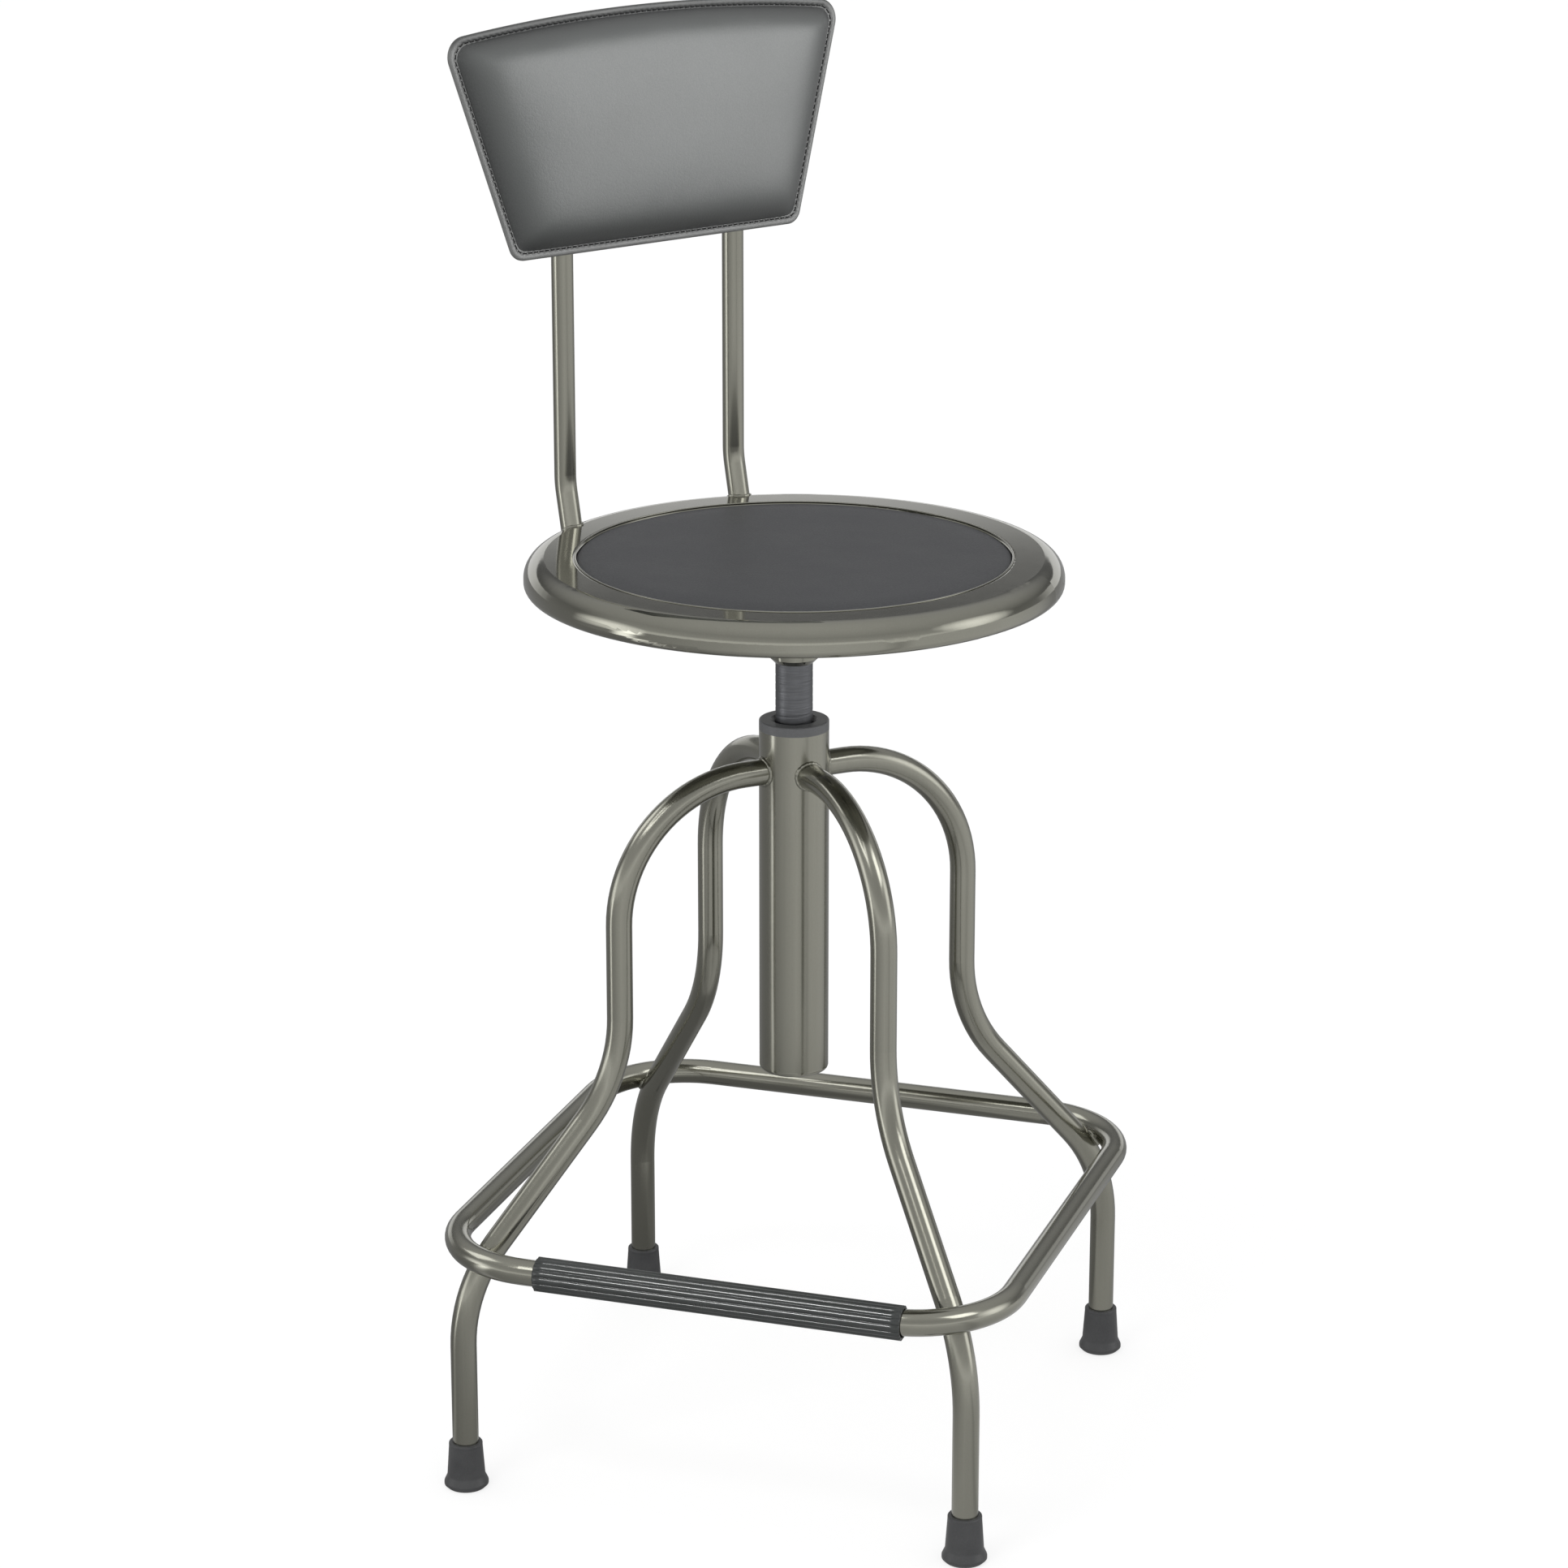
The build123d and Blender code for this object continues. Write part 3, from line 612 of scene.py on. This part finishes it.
def back_sides(outline):
    """The outline as four sides that meet at the middles of its corners."""
    points = np.array(outline)
    towards = ((1, -2), (1, 1), (-1, 1), (-1, -2))
    low_right, high_right, high_left, low_left = (int(np.argmax(points @ way)) for way in towards)
    bottom = np.vstack([points[low_left:], points[: low_right + 1]])
    right = points[low_right : high_right + 1]
    top = points[high_right : high_left + 1][::-1]
    left = points[high_left : low_left + 1][::-1]
    return bottom, right, top, left


def distance_to(side, places, count):
    """How far each place is from a side's line."""
    line = spread(side, count, False)
    return np.array([np.linalg.norm(line - p, axis=1).min() for p in places])


# Painted shade along the sewn edge: full out to SEAM_FULL, then fading over each side's band.
SEAM_BANDS = (0.022, 0.022, 0.014, 0.024)  # bottom, right, top, left
SEAM_FULL = 0.002


def shade_seam(cushion, sides):
    """Note on each point how much painted shade it takes by the sewn edge: 1 at the edge, 0 away
    from it.
    """
    mesh = cushion.data
    places = np.array([v.co for v in mesh.vertices]) - np.array(BACK_ORIGIN)
    flat = np.column_stack([places @ np.array(SEAT_X), places @ np.array(BACK_UP)])
    near = np.zeros(len(flat))
    for side, band in zip(sides, SEAM_BANDS):
        away = distance_to(side, flat, 300)
        near = np.maximum(near, (1 - np.clip((away - SEAM_FULL) / band, 0, 1)) ** 1.5)
    values = mesh.attributes.new("painted_shade_amount", "FLOAT", "POINT")
    values.data.foreach_set("value", near)


CUSHION_INSET = 0.0060
CUSHION_CORNERS = (0.0075, 0.0095)
CUSHION_REACHES = (0.0098, 0.0118, 0.0072, 0.0125)  # rise lengths: bottom, right, top, left
CUSHION_FOOT = 0.0008
CUSHION_BACKING = 0.0002
CUSHION_CROWN = 0.045
CUSHION_MIDDLE = 0.086


def make_back_cushion(name, facing, depth, covers):
    """One half of the backrest: vinyl over a foam block, sewn down round its edge."""
    wide, tall = 72, 40
    bottom, right, top, left = back_sides(back_outline(CUSHION_INSET, *CUSHION_CORNERS))
    bottom, top = (spread(s, wide + 1, False) for s in (bottom, top))
    left, right = (spread(s, tall + 1, False) for s in (left, right))
    flat = []
    for r in range(tall + 1):
        t = r / tall
        for c in range(wide + 1):
            s = c / wide
            p = (1 - t) * bottom[c] + t * top[c] + (1 - s) * left[r] + s * right[r]
            p -= (1 - s) * (1 - t) * bottom[0] + s * (1 - t) * bottom[-1]
            p -= (1 - s) * t * top[0] + s * t * top[-1]
            flat.append(p)
    flat = np.array(flat)
    rise = np.ones(len(flat))
    for side, reach in zip((bottom, right, top, left), CUSHION_REACHES):
        rise *= 1 - np.exp(-distance_to(side, flat, 400) / reach)
    crown = 1 - ((flat[:, 1] - CUSHION_MIDDLE) / CUSHION_MIDDLE) ** 2
    height = CUSHION_FOOT + depth * rise * (1 - CUSHION_CROWN + CUSHION_CROWN * crown)
    points = [on_back(u, v, facing * h) for (u, v), h in zip(flat, height)]
    points += [on_back(u, v, facing * CUSHION_BACKING) for u, v in flat]
    count = len(flat)
    faces = loft_faces(tall + 1, wide + 1, close_columns=False)
    faces += loft_faces(tall + 1, wide + 1, close_columns=False, start=count)
    n = wide + 1
    loop = list(range(wide)) + [r * n + wide for r in range(tall)]
    loop += [tall * n + c for c in range(wide, 0, -1)] + [r * n for r in range(tall, 0, -1)]
    for k in range(len(loop)):
        a, b = loop[k], loop[(k + 1) % len(loop)]
        faces.append((a, b, b + count, a + count))
    cushion = new_piece(name, points, faces)
    held = loop + list(range(count, 2 * count))
    swell(cushion, held, pressure=3.0, cap=0.0022, stiffness=30.0, settle=40)
    smooth_over(cushion, 1)
    shade_seam(cushion, (bottom, right, top, left))
    paint(cushion, BACK_VINYL, "seat")
    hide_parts(*covers)
    return cushion


cushion_front = make_back_cushion(
    "back_cushion_front", 1, 0.0205, ("back_cover_front", "back_foam_front")
)
cushion_rear = make_back_cushion(
    "back_cushion_rear", -1, 0.0262, ("back_cover_rear", "back_foam_rear")
)

STITCH_PITCH = 0.0048
STITCH_INSET = 0.0052
STITCH_CORNERS = (0.0081, 0.0111)
STITCH_R = 0.00055
STITCH_HALF = 0.00125
STITCH_ROUND = 0.0004
STITCH_BOW = 12
STITCH_LIFT = 0.00115
PINCH_WIDTH = 0.0009
PINCH_DEPTH = 0.55
# The flange's top stretch takes painted shade: TOP_FLANGE gives where it begins and how softly it
# comes in.
TOP_FLANGE = (0.1525, 0.006)  # where the flange's top stretch begins, and how softly
EDGE_SECTION = (  # drawn in from the outline, and the height there on each face
    (0.0078, 0.0006),
    (0.0064, 0.0011),
    (0.0058, 0.0012),
    (0.0052, 0.0010),
    (0.0046, 0.0013),
    (0.0038, 0.00165),
    (0.0026, 0.0018),
    (0.0014, 0.0017),
    (0.0006, 0.0013),
    (0.0001, 0.0007),
)


def stitch_line(count):
    """The line of stitches round the backrest, as evenly spaced points."""
    return spread(back_outline(STITCH_INSET, *STITCH_CORNERS), count)


def make_back_edge(around, stitches):
    """The sewn edge round the backrest: turned vinyl, pinched in along the stitching, with painted
    shade on its top stretch.
    """
    section = [(inset, height) for inset, height in EDGE_SECTION]
    section += [(inset, -height) for inset, height in EDGE_SECTION[::-1]]
    points = []
    painted_shade = []
    for inset, height in section:
        corners = (BACK_CORNER - inset * 0.75, BACK_TOP_CORNER - inset * 0.75)
        pinch = PINCH_DEPTH * math.exp(-(((inset - STITCH_INSET) / PINCH_WIDTH) ** 2))
        for k, (u, v) in enumerate(spread(back_outline(inset, *corners), around)):
            tuck = 0.5 + 0.5 * math.cos(2 * math.pi * stitches * k / around)
            points.append(on_back(u, v, height * (1 - pinch * tuck)))
            # Painted shade: 0 below the top stretch, rising to 1 along it.
            painted_shade.append(min(1.0, max(0.0, (v - TOP_FLANGE[0]) / TOP_FLANGE[1])))
    edge = new_piece("back_edge", points, loft_faces(len(section), around, close_rows=True))
    values = edge.data.attributes.new("painted_shade_amount", "FLOAT", "POINT")
    values.data.foreach_set("value", painted_shade)
    return paint(edge, WELT_VINYL, "seat")


def stitch_points(rings, sides):
    """One stitch, a thread with round ends lying along X."""
    points = []
    for ring in range(rings):
        a = math.pi * (ring + 1) / (rings + 1) - math.pi / 2
        end = (ring > rings // 2) - (ring < rings // 2)
        for turn in range(sides):
            b = 2 * math.pi * turn / sides
            across = STITCH_R * math.cos(a)
            along = STITCH_ROUND * math.sin(a) + STITCH_HALF * end
            points.append((along, across * math.cos(b), across * math.sin(b)))
    return points


def make_back_stitching(stitches):
    """The stitches themselves, on the front and on the rear."""
    rings, sides = 5, 6
    stitch = stitch_points(rings, sides)
    dense = stitch_line(stitches * 8)
    points, faces = [], []
    for facing in (1, -1):
        for k in range(stitches):
            here = dense[k * 8 + 4]
            ahead = dense[(k * 8 + 5) % len(dense)] - dense[k * 8 + 3]
            ahead = ahead / np.linalg.norm(ahead)
            start = len(points)
            for a, b, c in stitch:
                u = here[0] + ahead[0] * a - ahead[1] * b
                v = here[1] + ahead[1] * a + ahead[0] * b
                points.append(on_back(u, v, facing * (STITCH_LIFT + c - STITCH_BOW * a * a)))
            end = len(points)
            faces += loft_faces(rings, sides, start=start)
            faces += [tuple(range(start, start + sides)), tuple(range(end - sides, end))]
    thread = new_piece("back_stitching", points, faces)
    paint(thread, THREAD, "seat")


EDGE_POINTS = 1600
stitch_path = stitch_line(EDGE_POINTS)
stitch_path_length = np.linalg.norm(np.roll(stitch_path, -1, axis=0) - stitch_path, axis=1).sum()
STITCHES = round(stitch_path_length / STITCH_PITCH)
back_edge = make_back_edge(EDGE_POINTS, STITCHES)
make_back_stitching(STITCHES)


# ---------------------------------------------------------------- foot ring tread
TREAD_RIBS = 14
TREAD_R = 0.0126
TREAD_BORE = 0.0100
TREAD_GROOVE = 0.0013
TREAD_END = (  # distance in from the sleeve's end, radius, and how deep the ribs are there
    (0.0004, TREAD_BORE, 0.0),
    (0.0, 0.0104, 0.0),
    (0.0, 0.0112, 0.6),
)
TREAD_SHOULDER = 0.0008


def make_tread():
    """Ribbed rubber sleeve on the front of the foot ring, its ribs rounded by moulding."""
    low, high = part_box("footrest_tread")
    around, along = TREAD_RIBS * 16, 46
    rows = [(low.x + inwards, radius, ribbed) for inwards, radius, ribbed in TREAD_END]
    for k in range(along):
        x = low.x + TREAD_SHOULDER + (high.x - low.x - 2 * TREAD_SHOULDER) * k / (along - 1)
        rows.append((x, TREAD_R, 1.0))
    rows += [(high.x - inwards, radius, ribbed) for inwards, radius, ribbed in TREAD_END[::-1]]
    points = []
    for x, radius, ribbed in rows:
        for k in range(around):
            turn = 2 * math.pi * k / around
            rib = abs(math.cos(turn * TREAD_RIBS / 2)) ** 0.55
            r = radius - ribbed * TREAD_GROOVE * (1 - rib)
            points.append((x, -RING_HALF + r * math.cos(turn), RING_Z + r * math.sin(turn)))
    sleeve = new_piece("tread_sleeve", points, loft_faces(len(rows), around, close_rows=True))
    paint(sleeve, TREAD, "base")
    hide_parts("footrest_tread")
    return sleeve


tread_sleeve = make_tread()


# ---------------------------------------------------------------- lift spindle
THREAD_DEPTH = 0.00014
THREAD_HALF = 0.17  # half the groove's width, in turns
THREAD_FADES = (0.003, 0.004)  # the groove runs out over these heights, at its lower and upper end


def make_spindle():
    """Turned screw with a shallow rounded thread, its plain neck and spigot."""
    low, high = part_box("lift_spindle")
    around = 72
    step = 0.0005
    count = int((THREAD_TOP_Z - SHOULDER_Z) / step)
    points = []
    heights = [(low.z, SPIGOT_R - 0.0002, False), (low.z + 0.0006, SPIGOT_R, False)]
    heights += [(SHOULDER_Z - 0.0002, SPIGOT_R, False), (SHOULDER_Z, SPINDLE_R - 0.0008, False)]
    heights += [(SHOULDER_Z + 0.001 + step * k, SPINDLE_R, True) for k in range(count - 2)]
    heights += [(THREAD_TOP_Z + 0.0004, SPINDLE_R, False), (high.z, SPINDLE_R, False)]
    for z, radius, cut in heights:
        for k in range(around):
            turn = k / around
            r = radius
            if cut:
                phase = (z / THREAD_PITCH - turn) % 1.0
                groove = max(0.0, 1 - abs(phase - 0.5) / THREAD_HALF)
                from_ends = (z - SHOULDER_Z, THREAD_TOP_Z - z)
                fade = min(1.0, *(gap / length for gap, length in zip(from_ends, THREAD_FADES)))
                r -= THREAD_DEPTH * groove * groove * (3 - 2 * groove) * max(0.0, fade)
            a = 2 * math.pi * turn
            points.append((r * math.cos(a), r * math.sin(a), z))
    faces = loft_faces(len(heights), around)
    faces.append(tuple(range(around)))
    faces.append(tuple(range(len(points) - around, len(points))))
    screw = new_piece("lift_screw", points, faces)
    paint(screw, SPINDLE_STEEL, "seat")
    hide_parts("lift_spindle")


make_spindle()


# ---------------------------------------------------------------- weld beads
BEAD_SIDES = 10
BEAD_RIPPLE = 0.16
BEAD_UNEVEN = 0.08


def bead_points(path, outs, radius, ripples):
    """Rows of a closed bead of weld along a path, rippled as it was laid."""
    path = [Vector(p) for p in path]
    count = len(path)
    points = []
    for k in range(count):
        ahead = (path[(k + 1) % count] - path[k - 1]).normalized()
        out = (outs[k] - ahead * ahead.dot(outs[k])).normalized()
        cross = ahead.cross(out)
        phase = 2 * math.pi * ripples * k / count
        uneven = BEAD_UNEVEN * math.sin(phase * 0.37 + 1)
        size = radius * (1 + BEAD_RIPPLE * abs(math.sin(phase / 2)) + uneven)
        for turn in range(BEAD_SIDES):
            a = 2 * math.pi * turn / BEAD_SIDES
            points.append(path[k] + (out * math.cos(a) + cross * math.sin(a)) * size)
    return points, count


def make_beads(name, runs, body):
    """One piece holding several closed beads."""
    points, faces = [], []
    for path, outs, radius, ripples in runs:
        rows, count = bead_points(path, outs, radius, ripples)
        faces += loft_faces(count, BEAD_SIDES, close_rows=True, start=len(points))
        points += rows
    paint(new_piece(name, points, faces), WELD, body)


def leg_axes(degrees):
    """A leg's outward direction and the one square to it, both level."""
    a = math.radians(degrees)
    out = Vector((math.cos(a), math.sin(a), 0))
    return out, UP.cross(out)


def column_runs():
    """Where each leg's end meets the column."""
    runs = []
    steps = 120
    bead_reach = TUBE_R + 0.0002
    for degrees in LEG_ANGLES:
        out, side = leg_axes(degrees)
        path, outs = [], []
        for k in range(steps):
            t = 2 * math.pi * k / steps
            across = bead_reach * math.sin(t)
            reach = math.sqrt(COLUMN_R**2 - across**2)
            rise = bead_reach * math.cos(t)
            path.append(out * reach + side * across + UP * (LEG_TOP_Z + rise))
            outs.append((side * math.sin(t) + UP * math.cos(t) + out * 0.8).normalized())
        runs.append((path, outs, 0.0014, 17))
    return runs


def ring_runs():
    """Where each leg rests against the foot ring, a small bead round the touching spot."""
    runs = []
    ring_reach = (RING_HALF - RING_CORNER) * math.sqrt(2) + RING_CORNER
    steps = 72
    bead_reach = 0.0056
    for degrees in LEG_ANGLES:
        out, side = leg_axes(degrees)
        towards = (out * RING_TO_LEG[0] + UP * RING_TO_LEG[1]).normalized()
        touch = out * ring_reach + UP * RING_Z + towards * TUBE_R
        across = towards.cross(side)
        path, outs = [], []
        for k in range(steps):
            t = 2 * math.pi * k / steps
            spoke = side * math.cos(t) + across * math.sin(t)
            path.append(touch + spoke * bead_reach)
            outs.append(spoke)
        runs.append((path, outs, 0.0021, 9))
    return runs


def post_runs():
    """Where each back post stands on the seat's rim."""
    runs = []
    steps = 96
    for sign in (-1, 1):
        centre = SEAT_X * (sign * POST_FOOT[0]) + SEAT_Y * POST_FOOT[1] + UP * SEAT_TOP
        path, outs = [], []
        for k in range(steps):
            t = 2 * math.pi * k / steps
            spoke = SEAT_X * math.cos(t) + SEAT_Y * math.sin(t)
            place = centre + spoke * (POST_R + 0.0001)
            over = min(PAN_ROLL, max(0.0, place.xy.length - PAN_R + PAN_ROLL))
            drop = PAN_ROLL - math.sqrt(PAN_ROLL**2 - over**2)
            place += SEAT_Y * (-POST_LEAN * drop) - UP * (drop - 0.0002)
            path.append(place)
            outs.append((spoke.normalized() + UP * 0.7).normalized())
        runs.append((path, outs, 0.0011, 13))
    return runs


def hub_run():
    """Where the hub meets the plate under the seat."""
    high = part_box("seat_hub")[1]
    steps = 120
    path, outs = [], []
    for k in range(steps):
        t = 2 * math.pi * k / steps
        spoke = Vector((math.cos(t), math.sin(t), 0))
        path.append(spoke * high.x + UP * (high.z - 0.0003))
        outs.append((spoke - UP * 0.5).normalized())
    return [(path, outs, 0.0012, 24)]


make_beads("weld_beads_column", column_runs(), "base")
make_beads("weld_beads_ring", ring_runs(), "base")
make_beads("weld_beads_posts", post_runs(), "seat")
make_beads("weld_bead_hub", hub_run(), "seat")


# ---------------------------------------------------------------- stage, light, camera
VIEW_AZIMUTH = 18.34
VIEW_ELEVATION = 17.44
GLOW_LEFT = VIEW_AZIMUTH - 84
GLOW_RIGHT = VIEW_AZIMUTH + 84


def bearing(azimuth, elevation):
    """Unit direction from the chair, azimuth measured from the front towards the right."""
    a, e = math.radians(azimuth), math.radians(elevation)
    return Vector((math.sin(a) * math.cos(e), -math.cos(a) * math.cos(e), math.sin(e)))


# What shines in the metal, as (place, brightness) stops. On the floor the place is a bearing_turn.
FLOOR_TONES = (
    (0.00, 0.32),
    (0.04, 0.24),
    (0.27, 0.26),
    (0.32, 0.38),
    (0.42, 0.52),
    (0.52, 0.68),
    (0.60, 0.64),
    (0.62, 0.46),
    (0.64, 0.66),
    (0.78, 0.68),
    (0.84, 0.50),
    (0.88, 0.26),
    (0.95, 0.30),
    (1.00, 0.32),
)
LEFT_LINE = ((0.276, 0.0), (0.289, 2.1), (0.301, 2.1), (0.314, 0.0))
# In the room round it, the place is the height of a direction, 0 level and 1 straight up.
BEHIND_TONES = (
    (0.0, 0.85),
    (0.240, 0.84),
    (0.250, 0.12),
    (0.32, 0.15),
    (0.46, 0.34),
    (0.62, 0.50),
    (0.85, 0.62),
    (1.0, 0.66),
)
ASIDE_TONES = ((0.0, 0.28), (0.32, 0.24), (0.62, 0.50), (1.0, 0.66))
BEFORE_TONES = ((0.0, 1.0), (0.10, 0.95), (0.22, 0.60), (0.55, 0.50), (1.0, 0.66))
FLOOR_SEEN = 0.75
FLOOR_COLOUR = (0.30, 0.30, 0.30)
FLOOR_BOUNCE = (0.42, 0.42, 0.42)
WORLD_SEEN = (1.05, 1.05, 1.05)
WORLD_FILL = (0.86, 0.86, 0.86)


def bearing_turn(n, vector):
    """Where a vector points round the studio, 0 to 1: behind, left, front, right, behind."""
    ahead = n.towards(vector, bearing(VIEW_AZIMUTH, 0))
    right = n.towards(vector, bearing(VIEW_AZIMUTH + 90, 0))
    return n.scaled(n.math("ARCTAN2", right, ahead), 0, 1, -math.pi, math.pi)


def floor_shine(n, place):
    """What the metal sees of the floor: tones by bearing, and a bright line out on the left."""
    length = n.node("ShaderNodeVectorMath", operation="LENGTH")
    n.join(place, length.inputs[0])
    away = length.outputs["Value"]
    way = n.node("ShaderNodeVectorMath", operation="NORMALIZE")
    n.join(place, way.inputs[0])
    turn = bearing_turn(n, place)
    tones = n.product(n.ramp(turn, FLOOR_TONES), n.scaled(away, 0.82, 1.12, 0.3, 1.2))
    line = n.product(n.ramp(turn, LEFT_LINE), n.scaled(away, 0.1, 1.0, 0.5, 1.3))
    glow = n.towards(way.outputs["Vector"], bearing(GLOW_LEFT, 0))
    glow = n.product(n.scaled(glow, 0, 1.0, 0.94, 1.0), n.scaled(away, 0, 1, 2.2, 6.0))
    return n.sum(n.sum(tones, line), glow)


def make_floor():
    """A plain pale floor; what shines in the metal is a greyer sweep with lit and unlit parts."""
    mesh = bpy.data.meshes.new("floor")
    reach = 40.0
    corners = [(-reach, -reach, 0), (reach, -reach, 0), (reach, reach, 0), (-reach, reach, 0)]
    mesh.from_pydata(corners, [], [(0, 1, 2, 3)])
    floor = bpy.data.objects.new("floor", mesh)
    bpy.context.scene.collection.objects.link(floor)
    f = Finish("floor_pale")
    path = f.node("ShaderNodeLightPath")
    f.colour(f.blend(path.outputs["Is Camera Ray"], FLOOR_BOUNCE, FLOOR_COLOUR))
    f.shader.inputs["Roughness"].default_value = 0.9
    f.shader.inputs["Specular IOR Level"].default_value = 0.0
    f.shader.inputs["Emission Color"].default_value = (1, 1, 1, 1)
    seen = f.product(path.outputs["Is Camera Ray"], FLOOR_SEEN)
    f.join(seen, f.shader.inputs["Emission Strength"])
    glow = f.node("ShaderNodeEmission")
    f.join(floor_shine(f, f.place), glow.inputs["Strength"])
    choose = f.node("ShaderNodeMixShader")
    out = next(n for n in f.tree.nodes if n.type == "OUTPUT_MATERIAL")
    f.join(path.outputs["Is Glossy Ray"], choose.inputs[0])
    f.join(f.shader.outputs[0], choose.inputs[1])
    f.join(glow.outputs[0], choose.inputs[2])
    f.join(choose.outputs[0], out.inputs["Surface"])
    mesh.materials.append(f.material)


def make_world():
    """White to the camera, even soft light on surfaces, and a studio to shine in the metal."""
    world = bpy.data.worlds.new("studio")
    bpy.context.scene.world = world
    world.use_nodes = True
    n = Nodes(world.node_tree)
    n.tree.nodes.clear()
    way = n.node("ShaderNodeTexCoord").outputs["Generated"]
    right = n.towards(way, bearing(VIEW_AZIMUTH + 90, 0))
    lift = n.sum(n.towards(way, UP), n.product(right, 0.03))
    tone_sets = (BEHIND_TONES, ASIDE_TONES, BEFORE_TONES)
    behind, aside, before = (n.ramp(lift, tones) for tones in tone_sets)
    ahead = n.towards(way, bearing(VIEW_AZIMUTH + 180, 0))
    rear = n.blend(n.scaled(ahead, 0, 1, 0.55, 0.85), aside, behind)
    room = n.blend(n.scaled(ahead, 0, 1, -0.15, 0.25), before, rear)
    low_left = n.towards(way, bearing(GLOW_LEFT, 3))
    high_right = n.towards(way, bearing(GLOW_RIGHT, 18))
    glows = n.sum(n.scaled(low_left, 0, 1.0, 0.94, 1.0), n.scaled(high_right, 0, 1.4, 0.93, 1.0))
    path = n.node("ShaderNodeLightPath")
    seen = n.blend(path.outputs["Is Glossy Ray"], WORLD_FILL, n.sum(room, glows))
    studio = n.node("ShaderNodeBackground")
    n.join(n.blend(path.outputs["Is Camera Ray"], seen, WORLD_SEEN), studio.inputs["Color"])
    out = n.node("ShaderNodeOutputWorld")
    n.join(studio.outputs[0], out.inputs["Surface"])


def softbox(
    name,
    azimuth,
    elevation,
    distance,
    size,
    power,
    middle=0.55,
    only=None,
    diffuse=True,
    glossy=True,
):
    """A soft rectangular light aimed at the chair.

    size is (wide, tall), and only lists the pieces that it lights.
    """
    light = bpy.data.lights.new(name, "AREA")
    light.shape = "RECTANGLE"
    light.size, light.size_y = size
    light.energy = power
    lamp = bpy.data.objects.new(name, light)
    bpy.context.scene.collection.objects.link(lamp)
    away = bearing(azimuth, elevation)
    lamp.location = Vector((0, 0, middle)) + away * distance
    lamp.rotation_mode = "QUATERNION"
    lamp.rotation_quaternion = away.to_track_quat("Z", "Y")
    lamp.visible_camera = False
    lamp.visible_diffuse = diffuse
    lamp.visible_glossy = glossy
    if only:
        lit = bpy.data.collections.new(name + "_lights")
        for piece in only:
            lit.objects.link(piece)
        lamp.light_linking.receiver_collection = lit


CAMERA_LENS = 106.38
CAMERA_TARGET = Vector((-0.0158, 0.0245, 0.4906))
CAMERA_DISTANCE = 3.386


def make_camera():
    """The photographer's view: a long lens, a little above the seat."""
    data = bpy.data.cameras.new("camera")
    data.sensor_width = 36.0
    data.lens = CAMERA_LENS
    data.clip_end = 100.0
    camera = bpy.data.objects.new("camera", data)
    bpy.context.scene.collection.objects.link(camera)
    away = bearing(VIEW_AZIMUTH, VIEW_ELEVATION)
    camera.location = CAMERA_TARGET + away * CAMERA_DISTANCE
    camera.rotation_mode = "QUATERNION"
    camera.rotation_quaternion = away.to_track_quat("Z", "Y")
    bpy.context.scene.camera = camera


make_floor()
make_world()
TUBES = NODE_FINISH[PEWTER_UPRIGHT] + NODE_FINISH[PEWTER_RING]
softbox("key_high", VIEW_AZIMUTH - 39, 50, 2.8, (0.8, 0.6), 12, glossy=False)
softbox("front_fill", VIEW_AZIMUTH + 14, 8, 3.2, (1.6, 0.8), 12, middle=0.4, glossy=False)
for name, azimuth, elevation, power in (
    ("shine_middle", -39, 50, 15),
    ("shine_right", 54, 42, 12),
    ("shine_left", -104, 36, 7),
):
    softbox(
        "tube_" + name,
        VIEW_AZIMUTH + azimuth,
        elevation,
        2.8,
        (1.2, 1.2),
        power,
        only=[NODES[tube] for tube in TUBES],
        diffuse=False,
    )
softbox(
    "tread_shine",
    VIEW_AZIMUTH - 36.7,
    34,
    2.8,
    (0.5, 0.22),
    30,
    middle=0.2,
    only=[tread_sleeve],
    diffuse=False,
)
softbox(
    "back_glow",
    VIEW_AZIMUTH + 76,
    9,
    1.6,
    (1.5, 1.4),
    34,
    middle=0.95,
    only=(cushion_front, cushion_rear, back_edge),
    diffuse=False,
)
make_camera()
bpy.context.scene.view_settings.view_transform = "Standard"
